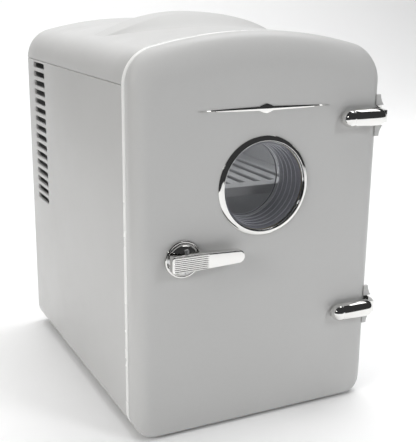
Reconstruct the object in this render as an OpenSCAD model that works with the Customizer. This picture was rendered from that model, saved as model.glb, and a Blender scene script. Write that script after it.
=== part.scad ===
// Small retro mini fridge: arched cabinet, rolled door with a round porthole,
// pull lever latch, two side hinges, thermoelectric cooler behind the inner box.
// The axes are X to the hinge side, Y to the back and Z up.
// The origin is on the standing surface, at the centre of the box the fridge fills.

/* [Cabinet] */
// Width of the cabinet
body_w = 196; // [188:1:204]
// Height of the roof's crown above the standing surface
body_h = 286; // [276:1:296]
// Depth of the cabinet behind the white front frame
body_d = 236; // [232:1:244]
// Wall of the grey shells
wall = 2.2; // [1.8:0.1:2.6]
// Radius of the arched roof
roof_r = 320; // [300:5:340]
// Radius where the roof turns down into the sides
shoulder_r = 25; // [20:1:28]
// Radius of the cabinet's bottom corners
bottom_r = 16; // [12:1:18]
// Depth of the white front frame
frame_t = 5; // [4:0.5:5]

/* [Inner box] */
// Width of the cooled space
cave_w = 140; // [136:1:142]
// Height of the cooled space
cave_h = 206; // [200:1:208]
// Depth of the cooled space behind the front frame
cave_d = 170; // [170:1:171]
// Height of the cooled space's floor
cave_z = 40; // [38:1:42]
// Radius of the cooled space's four long corners
cave_r = 5; // [4:1:8]
// Height of the shelf's underside
shelf_z = 168; // [160:1:176]

/* [Vents] */
// Number of vent slots in each side
vent_n = 16; // [10:1:16]
// Distance from one vent slot to the next
vent_pitch = 7.8; // [7:0.1:7.8]
// Height of one vent slot
vent_h = 4.5; // [3:0.1:4.8]
// Length of one vent slot along the side
vent_l = 33; // [26:1:36]
// Centre height of the lowest vent slot
vent_z = 130.5; // [124:0.5:130.5]

/* [Carry handle] */
// Rise of the handle above the roof's crown
grip_rise = 9.5; // [8:0.5:10]
// Width of the handle, front to back
grip_w = 24; // [20:1:26]
// Thickness of the handle
grip_t = 7; // [6:0.5:8]

/* [Door] */
// Distance from the front frame's back to the door's front
door_front = 20; // [20:0.5:20.5]
// Gap between the door's rim and the front frame
door_gap = 0.6; // [0.5:0.1:0.8]

/* [Porthole] */
// Outer radius of the chrome ring
port_r = 36; // [34:0.5:36]
// Height of the porthole's centre
port_z = 180; // [176:1:184]

/* [Latch] */
// Sideways place of the latch hub
hub_x = -62.6; // [-63:0.1:-62]
// Height of the latch hub
hub_z = 134.4; // [130:0.2:138]
// Radius of the round base
hub_r = 13.6; // [13:0.1:14]
// Length of the lever to the right of the hub
lever_l = 42.6; // [36:0.2:46]

/* [Hinges] */
// Height of the upper hinge
hinge_hi = 224.5; // [218:0.5:230]
// Height of the lower hinge
hinge_lo = 75.5; // [70:0.5:82]
// Radius of the chrome barrel
barrel_r = 6.6; // [6:0.1:6.8]

/* [Hidden] */
$fn = 64;

grey = [0.70, 0.70, 0.70];
roof_grey = [0.74, 0.74, 0.74];
chrome = [0.86, 0.85, 0.84];
white = [0.94, 0.94, 0.93];
steel = [0.62, 0.63, 0.65];
black = [0.12, 0.12, 0.13];
clear = [0.62, 0.64, 0.72, 0.45];

foot_h = 2;
half_w = body_w / 2;
seam_z = body_h - roof_r
    + sqrt(pow(roof_r - shoulder_r, 2) - pow(half_w - shoulder_r, 2));
cave_mid_z = cave_z + cave_h / 2;
cool_z = 190;

// Hinge axis and how far the hinge stands out past the side
pin_x = half_w + 1.5;
pin_y = -12;
knuckle_r = 4;
pin_r = 1.5;
run_gap = 0.05;

// Porthole
port_in_r = port_r - 4.6;
tube_end = 10.8;

// Latch lever
lever_front = -door_front - 12;
lever_back = -door_front - 5.6;
lever_left = 12.4;
lever_pin_y = -door_front - 7;
plunger_x = hub_x - 10.9;

// The model is shifted so that the origin is at the middle of its box
shift_x = -(pin_x + knuckle_r - half_w) / 2;
shift_y = -(body_d + lever_front) / 2;

module place() {
    translate([shift_x, shift_y, 0]) children();
}

// ---- outlines and small solids -------------------------------------------------

function arc(c, r, a0, a1, n) =
    [for (k = [0:n]) let (a = a0 + (a1 - a0) * k / n) c + r * [cos(a), sin(a)]];

// Cabinet outline in X and Z, drawn in by inset, with the crown lowered by drop
module outline(inset = 0, drop = 0) {
    w = half_w - inset;
    top = body_h - inset - drop;
    floor_z = foot_h + inset;
    ra = roof_r - inset;
    rs = max(shoulder_r - inset, 4);
    rb = max(bottom_r - inset, 3);
    zc = top - ra;
    zk = zc + sqrt(pow(ra - rs, 2) - pow(w - rs, 2));
    tilt = atan2(zk - zc, w - rs);
    polygon(concat(
        arc([w - rb, floor_z + rb], rb, -90, 0, 8),
        arc([w - rs, zk], rs, 0, tilt, 10),
        arc([0, zc], ra, tilt, 180 - tilt, 18),
        arc([rs - w, zk], rs, 180 - tilt, 180, 10),
        arc([rb - w, floor_z + rb], rb, 180, 270, 8)));
}

// Slice of the cabinet outline between two depths
module slab(y0, y1, inset = 0, drop = 0) {
    translate([0, y1, 0]) rotate([90, 0, 0]) linear_extrude(y1 - y0) outline(inset, drop);
}

module block(low, high) {
    translate(low) cube(high - low);
}

module rod_x(y, z, r, x0, x1) {
    translate([x0, y, z]) rotate([0, 90, 0]) cylinder(r = r, h = x1 - x0);
}

module rod_y(x, z, r, y0, y1) {
    translate([x, y1, z]) rotate([90, 0, 0]) cylinder(r = r, h = y1 - y0);
}

module rod_z(x, y, r, z0, z1) {
    translate([x, y, z0]) cylinder(r = r, h = z1 - z0);
}

// Ring or disc turned about a front-to-back axis; the 2D child is radius, depth
module turned_y(x, y, z) {
    translate([x, y, z]) rotate([-90, 0, 0]) rotate_extrude($fn = 96) children();
}

module round_rect(w, h, r) {
    square([w - 2 * r, h], center = true);
    square([w, h - 2 * r], center = true);
    for (sx = [-1, 1], sz = [-1, 1])
        translate([sx * (w / 2 - r), sz * (h / 2 - r)]) circle(r = r);
}

// Upright rounded rectangle between two depths
module plate_y(w, h, r, z, y0, y1, x = 0) {
    translate([x, y1, z]) rotate([90, 0, 0]) linear_extrude(y1 - y0) round_rect(w, h, r);
}

module cave(y0, y1, grow = 0) {
    plate_y(cave_w + 2 * grow, cave_h + 2 * grow, cave_r + grow, cave_mid_z, y0, y1);
}

// Long oval in plan, between two heights
module oval(l, w, z0, z1) {
    block([-(l - w) / 2, well_y - w / 2, z0], [(l - w) / 2, well_y + w / 2, z1]);
    for (s = [-1, 1])
        rod_z(s * (l - w) / 2, well_y, w / 2, z0, z1);
}

// ---- cabinet --------------------------------------------------------------------

well_l = 120;
well_w = 54;
well_z = 264;
grip_y = 110;
grip_foot = 50;
grip_r = 156;
well_y = grip_y + (well_w - grip_w) / 2;
screw_x = 86;
screw_z = [22, 236];

module vents() {
    for (k = [0:vent_n - 1])
        translate([0, 0, vent_z + k * vent_pitch])
            block([-half_w - 1, 217 - vent_l, -vent_h / 2], [half_w + 1, 217, vent_h / 2]);
}

module floor_vents() {
    for (k = [-4:4])
        block([k * 9 - 2, 192, -1], [k * 9 + 2, 222, foot_h + wall + 1]);
}

module side_shell() {
    color(grey) place() difference() {
        union() {
            difference() {
                slab(0, body_d);
                slab(-1, body_d + 1, wall);
            }
            for (s = [-1, 1], z = screw_z)
                block([s > 0 ? 80 : 0.1 - half_w, 212, z - 6],
                      [s > 0 ? half_w - 0.1 : -80, 229.8, z + 6]);
        }
        block([-half_w - 1, -1, seam_z], [half_w + 1, body_d + 1, body_h + 1]);
        vents();
        floor_vents();
        for (s = [-1, 1], z = screw_z)
            rod_y(s * screw_x, z, pin_r + run_gap, 214, 231);
    }
}

module top_cover() {
    color(roof_grey) place() difference() {
        union() {
            difference() {
                slab(0, body_d);
                slab(-1, body_d + 1, wall);
                block([-half_w - 1, -1, 0], [half_w + 1, body_d + 1, seam_z + 0.2]);
            }
            intersection() {
                slab(0, body_d, 0.3);
                oval(well_l + 4, well_w + 4, well_z - 2, body_h + 20);
            }
        }
        oval(well_l, well_w, well_z, body_h + 20);
    }
}

// Solid turned about a front-to-back axis over the crown; the 2D child is radius, depth
module turned_crown(z, half_angle) {
    translate([0, 0, z]) rotate([-90, 0, 0]) rotate([0, 0, -90 - half_angle])
        rotate_extrude(angle = 2 * half_angle, $fn = 180) children();
}

// The front of the roof swells up to a lip; fingers reach under it from behind
module carry_handle() {
    lip_front = grip_y - grip_w / 2;
    lip_back = grip_y + grip_w / 2;
    crest = grip_y - 4;
    under = grip_r - grip_t;
    swell = [for (k = [0:12]) let (t = k / 12)
        [roof_r + 0.5 + (grip_rise - 0.5) * t * t * (3 - 2 * t), grip_foot + (crest - grip_foot) * t]];
    color(roof_grey) place() difference() {
        intersection() {
            turned_crown(body_h - roof_r, 16)
                polygon(concat([[roof_r - 14, grip_foot]], swell,
                    [[roof_r + grip_rise + 1, crest + 2], [roof_r + grip_rise + 1, lip_back],
                     [roof_r - 14, lip_back]]));
            turned_crown(body_h + grip_rise - grip_r, 40)
                polygon(concat([[60, grip_foot - 1], [grip_r, grip_foot - 1]],
                    arc([grip_r - 2.6, lip_back - 2.6], 2.6, 0, 90, 6),
                    [[60, lip_back]]));
        }
        turned_crown(body_h + grip_rise - grip_r, 45)
            polygon([[50, lip_front], [under, lip_front], [under, lip_back - 2],
                     [under + 2, lip_back + 0.1], [50, lip_back + 0.1]]);
        difference() {
            slab(0, body_d, -0.02);
            oval(well_l - 0.2, well_w, 200, body_h + 20);
        }
    }
}

module front_frame() {
    color(white) place() difference() {
        slab(-frame_t, 0);
        cave(-frame_t - 1, 1);
        for (z = [hub_z - 60, hub_z + 60])
            block([-92, -frame_t + 1, z - 10], [-87, 1, z + 10]);
    }
}

module keeper_plates() {
    color(steel) place() for (z = [hub_z - 60, hub_z + 60])
        block([-91.8, -frame_t + 1.2, z - 9.8], [-87.2, -frame_t + 2.8, z + 9.8]);
}

module liner() {
    color(white) place() {
        difference() {
            union() {
                slab(0, 2, wall + 0.3);
                cave(0, cave_d + 2, 2);
            }
            cave(-1, cave_d);
            block([-21, cave_d - 1, cool_z - 21], [21, cave_d + 3, cool_z + 21]);
        }
        for (s = [-1, 1])
            block([s > 0 ? cave_w / 2 - 4 : -cave_w / 2 - 0.2, 8, shelf_z - 3],
                  [s > 0 ? cave_w / 2 + 0.2 : 4 - cave_w / 2, 138, shelf_z - 0.05]);
    }
}

module insulation() {
    color("ivory") place() difference() {
        slab(2.1, 184, wall + 0.4);
        cave(1, cave_d + 2.1, 2.1);
        oval(well_l + 4.4, well_w + 4.4, well_z - 2.2, body_h);
        block([-20.5, cave_d, cool_z - 20.5], [20.5, 185, cool_z + 20.5]);
    }
}

module bulkhead() {
    color(white) place() difference() {
        union() {
            slab(184.1, 186, wall + 0.4);
            for (x = [-52, 52], z = [68, 116])
                rod_y(x, z, 3, 185, 205);
        }
        block([-22, 183, cool_z - 22], [22, 187, cool_z + 22]);
    }
}

module shelf() {
    color(white) place() {
        difference() {
            block([-cave_w / 2 + 0.6, 14, shelf_z], [cave_w / 2 - 0.6, 140, shelf_z + 2]);
            for (k = [0:8])
                plate_slot(k);
        }
        block([-cave_w / 2 + 4.6, 14, shelf_z - 3], [cave_w / 2 - 4.6, 16, shelf_z + 4]);
    }
}

module plate_slot(k) {
    x = -52 + k * 13;
    block([x - 3, 34, shelf_z - 1], [x + 3, 122, shelf_z + 3]);
}

module feet() {
    color(black) place() for (x = [-78, 78], y = [22, body_d - 22])
        rod_z(x, y, 8, 0, foot_h - 0.02);
}

// ---- cooler ---------------------------------------------------------------------

module cold_sink() {
    color("silver") place() {
        block([-34, cave_d - 4, cool_z - 34], [34, cave_d, cool_z + 34]);
        for (k = [0:11])
            block([-34 + k * 6.06, cave_d - 12, cool_z - 34],
                  [-32.6 + k * 6.06, cave_d - 3.9, cool_z + 34]);
    }
}

module transfer_block() {
    color("silver") place()
        block([-20, cave_d, cool_z - 20], [20, 184, cool_z + 20]);
}

module peltier_module() {
    color("ghostwhite") place()
        block([-20, 184, cool_z - 20], [20, 187.8, cool_z + 20]);
}

module hot_sink() {
    color("silver") place() {
        block([-50, 187.8, cool_z - 50], [50, 193, cool_z + 50]);
        for (k = [0:13])
            block([-50, 192.9, cool_z - 50 + k * 7.57],
                  [50, 209, cool_z - 48.4 + k * 7.57]);
    }
}

// Square fan frame whose motor boss is at the back or the front
module fan_frame(size, y0, y1, bore_r, boss_r, boss_y0, boss_y1) {
    color(black) place() difference() {
        union() {
            difference() {
                plate_y(size, size, 4, cool_z, y0, y1);
                rod_y(0, cool_z, bore_r, y0 - 1, y1 + 1);
            }
            rod_y(0, cool_z, boss_r, boss_y0, boss_y1);
            for (a = [45, 135, 225, 315])
                translate([0, 0, cool_z]) rotate([0, a, 0])
                    block([boss_r - 1, boss_y0, -2], [bore_r + 1, boss_y1, 2]);
        }
        rod_y(0, cool_z, pin_r + run_gap, boss_y0 - 1, boss_y1 + 1);
        for (x = [-1, 1], z = [-1, 1])
            rod_y(x * (size / 2 - 4), cool_z + z * (size / 2 - 4), 1.8, y0 - 1, y1 + 1);
    }
}

// Fan rotor: hub, shaft and pitched blades
module fan_rotor(hub_r, tip_r, y0, y1, shaft_y1, blades) {
    color([0.2, 0.2, 0.22]) place() {
        rod_y(0, cool_z, hub_r, y0, y1);
        rod_y(0, cool_z, pin_r, y1 - 0.1, shaft_y1);
        for (k = [0:blades - 1])
            translate([0, (y0 + y1) / 2, cool_z]) rotate([0, k * 360 / blades, 0])
                translate([hub_r - 1, 0, 0]) rotate([32, 0, 0])
                    block([0, -0.7, -hub_r * 0.42], [tip_r - hub_r, 0.7, hub_r * 0.42]);
    }
}

module inner_fan_frame() {
    fan_frame(60, 146, 156, 28, 9, 153, 156);
}

module inner_fan_rotor() {
    fan_rotor(9, 27, 146.6, 152.4, 155.6, 7);
}

module rear_fan_frame() {
    fan_frame(80, 210, 225, 38, 14, 221.5, 225);
}

module rear_fan_rotor() {
    fan_rotor(14, 36.5, 211, 221, 224.5, 7);
}

module inner_grille() {
    color(white) place() difference() {
        plate_y(78, 78, 4, cool_z, 142, cave_d - 0.1);
        plate_y(73, 73, 3, cool_z, 144, cave_d + 1);
        for (k = [-4:4])
            block([-30, 141, cool_z + k * 7 - 1.6], [30, 145, cool_z + k * 7 + 1.6]);
    }
}

// ---- back of the cabinet ----------------------------------------------------------

panel_y = 230;
inlet_z = 46;
ac_x = -44;
switch_x = 44;

module rear_panel() {
    color(grey) place() difference() {
        union() {
            slab(panel_y, panel_y + 3, wall + 0.3);
            for (x = [-36, 36], z = [-36, 36])
                rod_y(x, cool_z + z, 3.6, 225.05, panel_y + 1);
        }
        intersection() {
            rod_y(0, cool_z, 38, panel_y - 1, panel_y + 4);
            union() for (k = [-7:7])
                block([-40, panel_y - 1, cool_z + k * 5 - 1.5],
                      [40, panel_y + 4, cool_z + k * 5 + 1.5]);
        }
        plate_y(26.4, 16.4, 2, inlet_z, panel_y - 1, panel_y + 4, ac_x);
        rod_y(0, inlet_z, 8.2, panel_y - 1, panel_y + 4);
        plate_y(24.4, 16.4, 2, inlet_z, panel_y - 1, panel_y + 4, switch_x);
        for (s = [-1, 1], z = screw_z)
            rod_y(s * screw_x, z, 1.8, panel_y - 1, panel_y + 4);
    }
}

module rear_screws() {
    color(steel) place() for (s = [-1, 1], z = screw_z) difference() {
        union() {
            rod_y(s * screw_x, z, pin_r, 215, panel_y + 3.5);
            rod_y(s * screw_x, z, 3.2, panel_y + 3.02, panel_y + 4.8);
        }
        block([s * screw_x - 2, panel_y + 4, z - 0.4], [s * screw_x + 2, panel_y + 6, z + 0.4]);
        block([s * screw_x - 0.4, panel_y + 4, z - 2], [s * screw_x + 0.4, panel_y + 6, z + 2]);
    }
}

module ac_inlet() {
    color(black) place() {
        difference() {
            union() {
                plate_y(26, 16, 2, inlet_z, 214, panel_y + 3.1, ac_x);
                plate_y(31, 21, 3, inlet_z, panel_y + 3.02, panel_y + 4.6, ac_x);
            }
            for (s = [-1, 1])
                rod_y(ac_x + s * 4.3, inlet_z, 4.4, 220, panel_y + 6);
        }
        for (s = [-1, 1])
            rod_y(ac_x + s * 4.3, inlet_z, 1.2, 219, panel_y + 2);
    }
}

module dc_inlet() {
    color(black) place() {
        difference() {
            union() {
                rod_y(0, inlet_z, 8, 214, panel_y + 3.1);
                rod_y(0, inlet_z, 10.5, panel_y + 3.02, panel_y + 4.6);
            }
            rod_y(0, inlet_z, 5.5, 220, panel_y + 6);
        }
        rod_y(0, inlet_z, 1.2, 219, panel_y + 2);
    }
}

rocker_y = panel_y + 1.6;

module switch_frame() {
    color(black) place() difference() {
        union() {
            plate_y(24, 16, 2, inlet_z, 216, panel_y + 3.1, switch_x);
            plate_y(28, 20, 3, inlet_z, panel_y + 3.02, panel_y + 4.4, switch_x);
        }
        plate_y(20, 12, 1, inlet_z, 220, panel_y + 6, switch_x);
        rod_z(switch_x, rocker_y, 1 + run_gap, inlet_z - 7, inlet_z + 7);
    }
}

module switch_rocker() {
    color([0.75, 0.1, 0.1]) place() {
        translate([switch_x, rocker_y, inlet_z - 5.7]) linear_extrude(11.4)
            polygon([[-9, 0], [-9, 4.4], [0, 2.4], [9, 4.4], [9, 0], [4, -6], [-4, -6]]);
        rod_z(switch_x, rocker_y, 1, inlet_z - 6.9, inlet_z + 6.9);
    }
}

module power_board() {
    color("darkgreen") place() difference() {
        block([-58, 205.02, 62], [58, 206.6, 122]);
        for (x = [-52, 52], z = [68, 116])
            rod_y(x, z, 1.2, 204, 208);
    }
}

module board_components() {
    color("goldenrod") place() {
        block([-44, 206.62, 76], [-12, 226, 108]);
        block([14, 206.62, 72], [20, 224, 112]);
        rod_y(34, 84, 7, 206.62, 226);
        rod_y(34, 102, 5, 206.62, 222);
    }
}

// ---- door --------------------------------------------------------------------------

// The door's edges roll back from its flat front: a tall roll under the crown, a short
// one at the sides. Each is width, then depth.
crown_roll = [27, 14];
side_roll = [11.5, 9];
rim_y = -frame_t - door_gap;

function bend(c, r, a0, a1, n) =
    [for (k = [0:n]) let (a = a0 + (a1 - a0) * k / n) c + [r[0] * cos(a), r[1] * sin(a)]];

module door_solid(inset = 0, grow_back = 0) {
    back = rim_y + grow_back;
    w = half_w - side_roll[0];
    side_y = side_roll[1] - door_front;
    crown_y = crown_roll[1] - door_front;
    crown_z = body_h - crown_roll[0];
    intersection() {
        slab(inset - door_front, back, inset);
        linear_extrude(body_h + 5) polygon(concat(
            [[-half_w, back], [half_w, back]],
            bend([w, side_y], side_roll - [inset, inset], 0, -90, 8),
            bend([-w, side_y], side_roll - [inset, inset], -90, -180, 8)));
        translate([-half_w - 1, 0, 0]) rotate([90, 0, 90]) linear_extrude(body_w + 2)
            polygon(concat(
                [[inset - door_front, 0], [back, 0], [back, body_h + 5],
                 [crown_y, body_h + 5]],
                bend([crown_y, crown_z], [crown_roll[1] - inset, crown_roll[0] - inset],
                     90, 180, 8)));
    }
}

// Room in the door's edge for the hinge ears and for the arm that reaches them
arm_x = 89.5;
arm_h = 4.4;

module hinge_notches() {
    for (z = [hinge_lo, hinge_hi]) {
        rod_z(pin_x, pin_y, knuckle_r + 0.8, z - 15, z + 15);
        block([arm_x - 0.3, -30, z - arm_h - 0.3], [half_w + 1, -5, z + arm_h + 0.3]);
    }
}

module port_hole(r, y0, y1) {
    rod_y(0, port_z, r, y0, y1);
}

module door_shell() {
    color(grey) place() difference() {
        door_solid();
        door_solid(2, 4);
        port_hole(port_in_r + 1.2, -30, 0);
        rod_y(hub_x, hub_z, 8.2, -30, -10);
        rod_y(plunger_x, hub_z, 1.8, -30, -10);
        hinge_notches();
    }
}

plug_w = cave_w - 8;
plug_h = cave_h - 9;

module plug(y0, y1, grow = 0) {
    plate_y(plug_w + 2 * grow, plug_h + 2 * grow, 9 + grow, cave_mid_z, y0, y1);
}

module door_liner() {
    color(white) place() difference() {
        union() {
            slab(-9.4, -7.4, wall + 0.8, 1);
            plug(-8, 10);
        }
        plug(-10, 8, -2);
        port_hole(port_in_r + 0.2, 5, 12);
        rod_y(plunger_x, hub_z, 1.8, -12, 0);
        hinge_notches();
    }
}

module door_foam() {
    color("ivory") place() difference() {
        union() {
            slab(-15.6, -9.5, 6, 16);
            plug(-9.6, 7.9, -2.2);
        }
        port_hole(port_in_r + 1.4, -30, 12);
        rod_y(hub_x, hub_z, 9, -30, -9);
        rod_y(plunger_x, hub_z, 4.2, -30, -9);
        for (z = [hub_z - 60, hub_z + 60])
            block([-92, -16, z - 11], [-86, -9, z + 11]);
        hinge_notches();
    }
}

module door_gasket() {
    color([0.85, 0.85, 0.85]) place() difference() {
        cave(-7.38, -frame_t - 0.05, 12);
        cave(-8, 0, 8);
    }
}

module door_magnets() {
    color(black) place() for (z = [hub_z - 60, hub_z + 60])
        block([-91.6, -13, z - 10], [-87.4, -9.42, z + 10]);
}

module door_bin() {
    color(clear) place() difference() {
        plate_y(116, 42, 5, 72, 10.05, 38);
        translate([0, 0, 2]) plate_y(112.8, 42, 4, 72.8, 11.8, 36.2);
        block([-56.4, 11.8, 76], [56.4, 36.2, 96]);
        block([-60, 26, 84], [60, 40, 96]);
    }
}

module porthole_ring() {
    color(chrome) place() turned_y(0, -door_front - 0.02, port_z) {
        difference() {
            translate([(port_r + port_in_r) / 2, 0]) circle(r = (port_r - port_in_r) / 2);
            translate([0, 0]) square([port_r + 1, 5]);
        }
        translate([port_in_r, -1.2]) square([port_r - port_in_r, 1.2]);
    }
}

module porthole_lens() {
    color(clear) place() port_hole(port_in_r + 1, -door_front, -door_front + 1.2);
}

// Steps of the tube: depth from the front of the tube and inner radius
tube_y = -door_front + 1.3;
tube_step = (tube_end - tube_y) / 4;

module porthole_tube() {
    color(clear) place() difference() {
        port_hole(port_in_r, tube_y, tube_end);
        for (k = [0:3])
            port_hole(port_in_r - 1.4 - 0.7 * k, tube_y - 1, tube_y + (k + 1) * tube_step);
        port_hole(port_in_r - 3.5, 0, tube_end + 1);
    }
}

module porthole_pane() {
    color(clear) place() port_hole(port_in_r - 3.52, tube_end - 2, tube_end);
}

module porthole_seal() {
    color(black) place() turned_y(0, 10.02, port_z)
        translate([port_in_r + 0.02, 0]) square([2.4, 1.4]);
}

module door_ornament() {
    color(chrome) place() translate([0, -door_front - 0.02, 234.5]) rotate([90, 0, 0]) {
        linear_extrude(1.2)
            polygon([[-52, 0], [-16, 1.5], [16, 1.5], [52, 0], [16, -1.5], [-16, -1.5]]);
        linear_extrude(2)
            polygon([[-9, 0], [0, 4.2], [9, 0], [0, -4.2]]);
    }
}

// ---- latch -------------------------------------------------------------------------

base_t = 2.2;
dome_y = -door_front - base_t;

module latch_base() {
    color(white) place() difference() {
        union() {
            rod_y(hub_x, hub_z, hub_r, dome_y, -door_front - 0.02);
            rod_y(hub_x, hub_z, 8, -door_front - 0.1, -11);
        }
        rod_y(plunger_x, hub_z, 1.8, -30, -10);
    }
}

// Domed hub with a level slot for the lever, so it is an upper and a lower cap
module latch_dome() {
    color(chrome) place() difference() {
        intersection() {
            rod_y(hub_x, hub_z, 11.6, -40, dome_y - 0.02);
            translate([hub_x, dome_y + 6.4, hub_z]) sphere(r = 14, $fn = 96);
        }
        block([hub_x - 20, -50, hub_z - 6.4], [hub_x + 20, 0, hub_z + 6.4]);
        rod_z(hub_x, lever_pin_y, pin_r, hub_z - 9, hub_z + 9);
    }
}

module latch_pin() {
    color(steel) place() rod_z(hub_x, lever_pin_y, pin_r, hub_z - 8.6, hub_z + 8.6);
}

// Lever seen from the front: square end at the hub, tapering to a round free end
module lever_outline() {
    tip_r = 4.7;
    polygon(concat([[-lever_left, 6], [-lever_left, -6]],
        [[6, -6]],
        arc([lever_l - tip_r, 0], tip_r, -88, 88, 14),
        [[6, 6]]));
}

module latch_lever() {
    color(chrome) place() difference() {
        translate([hub_x, lever_back, hub_z]) rotate([90, 0, 0])
            linear_extrude(lever_back - lever_front) lever_outline();
        for (k = [-2.5:2.5])
            block([hub_x - lever_left + 1, lever_front - 1, hub_z + k * 1.8 - 0.4],
                  [hub_x + 15, lever_front + 0.5, hub_z + k * 1.8 + 0.4]);
        rod_z(hub_x, lever_pin_y, pin_r + run_gap, hub_z - 8, hub_z + 8);
    }
}

module latch_plunger() {
    color(white) place() {
        rod_y(plunger_x, hub_z, 1.5, lever_back + 1, -7.6);
        rod_y(plunger_x, hub_z, 2.7, -17.6, -16.6);
    }
}

module latch_spring() {
    color(steel) place() for (k = [0:3])
        turned_y(plunger_x, -13.9 + k, hub_z) translate([2.5, 0]) circle(r = 0.35);
}

// ---- hinges ------------------------------------------------------------------------

barrel_y = -24.4;
barrel_x = [67.5, 91];

// Chrome barrel with a round end each side, turned about a level axis
module barrel(z) {
    l = barrel_x[1] - barrel_x[0];
    translate([barrel_x[0], barrel_y, z]) rotate([0, 90, 0]) rotate_extrude()
        intersection() {
            union() {
                circle(r = barrel_r);
                translate([0, l]) circle(r = barrel_r);
                translate([0, 0]) square([barrel_r, l]);
            }
            translate([0, -barrel_r - 1]) square([barrel_r + 1, l + 2 * barrel_r + 2]);
        }
}

module hinge_arm(z) {
    color(chrome) place() difference() {
        union() {
            barrel(z);
            block([arm_x, barrel_y, z - arm_h], [pin_x + 2.4, pin_y, z + arm_h]);
            rod_z(pin_x, pin_y, knuckle_r, z - arm_h, z + arm_h);
        }
        block([50, -door_front - 0.02, z - 9], [arm_x, 0, z + 9]);
        rod_z(pin_x, pin_y, pin_r + run_gap, z - 10, z + 10);
        rod_z(pin_x + 8.6, barrel_y, 8, z - 10, z + 10);
    }
}

// Flared bracket on the cabinet's side: leaf, two ears and the web behind the knuckle
module hinge_bracket(z) {
    r = 9;
    color(chrome) place() difference() {
        union() {
            block([half_w + 0.05, 1, z - 13.5], [half_w + 2, 20, z + 13.5]);
            difference() {
                block([half_w + 0.3, pin_y, z - 13.5], [pin_x + knuckle_r, 2.5, z + 13.5]);
                for (s = [-1, 1])
                    rod_y(pin_x + knuckle_r + 4.6, z + s * 14.6, r, pin_y - 1, 4);
            }
            rod_z(pin_x, pin_y, knuckle_r, z - 9, z + 9);
        }
        rod_z(pin_x, pin_y, 6.4, z - 4.6, z + 4.6);
        rod_z(pin_x, pin_y, pin_r, z - 20, z + 20);
    }
}

module hinge_pin(z) {
    color(steel) place() rod_z(pin_x, pin_y, pin_r, z - 9.6, z + 9.6);
}

module hinge_screws() {
    color(steel) place() for (z = [hinge_lo, hinge_hi], s = [-1, 1])
        rod_x(12, z + s * 8, 2.3, half_w + 2.02, half_w + 3.2);
}

module upper_hinge_bracket() { hinge_bracket(hinge_hi); }
module lower_hinge_bracket() { hinge_bracket(hinge_lo); }
module upper_hinge_pin() { hinge_pin(hinge_hi); }
module lower_hinge_pin() { hinge_pin(hinge_lo); }
module upper_hinge_arm() { hinge_arm(hinge_hi); }
module lower_hinge_arm() { hinge_arm(hinge_lo); }

side_shell();
top_cover();
carry_handle();
front_frame();
liner();
insulation();
bulkhead();
rear_panel();
rear_screws();
feet();
shelf();
cold_sink();
inner_fan_frame();
inner_fan_rotor();
inner_grille();
transfer_block();
peltier_module();
hot_sink();
rear_fan_frame();
rear_fan_rotor();
power_board();
board_components();
ac_inlet();
dc_inlet();
switch_frame();
switch_rocker();
keeper_plates();
upper_hinge_bracket();
lower_hinge_bracket();
upper_hinge_pin();
lower_hinge_pin();
hinge_screws();
door_shell();
door_foam();
door_liner();
door_gasket();
door_magnets();
door_bin();
porthole_ring();
porthole_lens();
porthole_tube();
porthole_pane();
porthole_seal();
door_ornament();
latch_base();
latch_dome();
latch_pin();
latch_lever();
latch_plunger();
latch_spring();
upper_hinge_arm();
lower_hinge_arm();
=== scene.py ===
# %% [markdown]
# # A retro mini fridge
# The CAD model is already exact: it says where every part is, how big it is and what moves.
# This lesson keeps that model as a fixed frame and builds the looks around it.
# Large shells are remade as smooth meshes, because light on a rolled edge shows every facet.
# Small blocky parts are copied from the frame and get soft edges.
# All shapes are drawn in millimetres from the middle of the cabinet's front edge.

# %% Load the fixed frame
import math

import bmesh
import bpy
from mathutils import Matrix, Vector
from mathutils.geometry import tessellate_polygon


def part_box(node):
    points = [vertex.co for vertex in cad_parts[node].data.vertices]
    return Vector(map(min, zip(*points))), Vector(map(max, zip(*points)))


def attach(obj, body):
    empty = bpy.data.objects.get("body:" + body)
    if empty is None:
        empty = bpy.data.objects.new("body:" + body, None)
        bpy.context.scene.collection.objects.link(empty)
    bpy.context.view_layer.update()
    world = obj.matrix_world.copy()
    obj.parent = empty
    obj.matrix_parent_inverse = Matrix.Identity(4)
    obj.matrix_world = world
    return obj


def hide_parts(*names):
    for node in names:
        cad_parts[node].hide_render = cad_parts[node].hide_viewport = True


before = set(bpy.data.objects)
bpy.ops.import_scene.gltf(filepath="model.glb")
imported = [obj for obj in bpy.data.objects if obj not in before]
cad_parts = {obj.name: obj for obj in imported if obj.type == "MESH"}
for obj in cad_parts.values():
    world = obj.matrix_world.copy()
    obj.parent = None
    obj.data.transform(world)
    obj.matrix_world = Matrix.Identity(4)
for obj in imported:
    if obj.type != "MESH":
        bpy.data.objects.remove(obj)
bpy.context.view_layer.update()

# %% [markdown]
# ## A millimetre grid on the cabinet
# The frame is in metres with its origin under the middle of the whole box.
# The cabinet's own front edge is easier to draw from, so one function turns
# millimetres measured there into metres in the frame.
# The driving sizes are read from the frame's boxes, so the looks follow the CAD.

# %% Sizes that drive the looks
MM = 0.001
shell_low, shell_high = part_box("side_shell")
MIDDLE_X = (shell_low.x + shell_high.x) / 2
FRONT_Y = shell_low.y


def at(x, y, z):
    """A point in millimetres from the cabinet's front edge, as metres in the frame."""
    return Vector((MIDDLE_X + x * MM, FRONT_Y + y * MM, z * MM))


def limits(node):
    """The box of a CAD node in cabinet millimetres: x0, y0, z0, x1, y1, z1."""
    low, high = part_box(node)
    spots = []
    for p in (low, high):
        spots += [(p.x - MIDDLE_X) / MM, (p.y - FRONT_Y) / MM, p.z / MM]
    return spots


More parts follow.
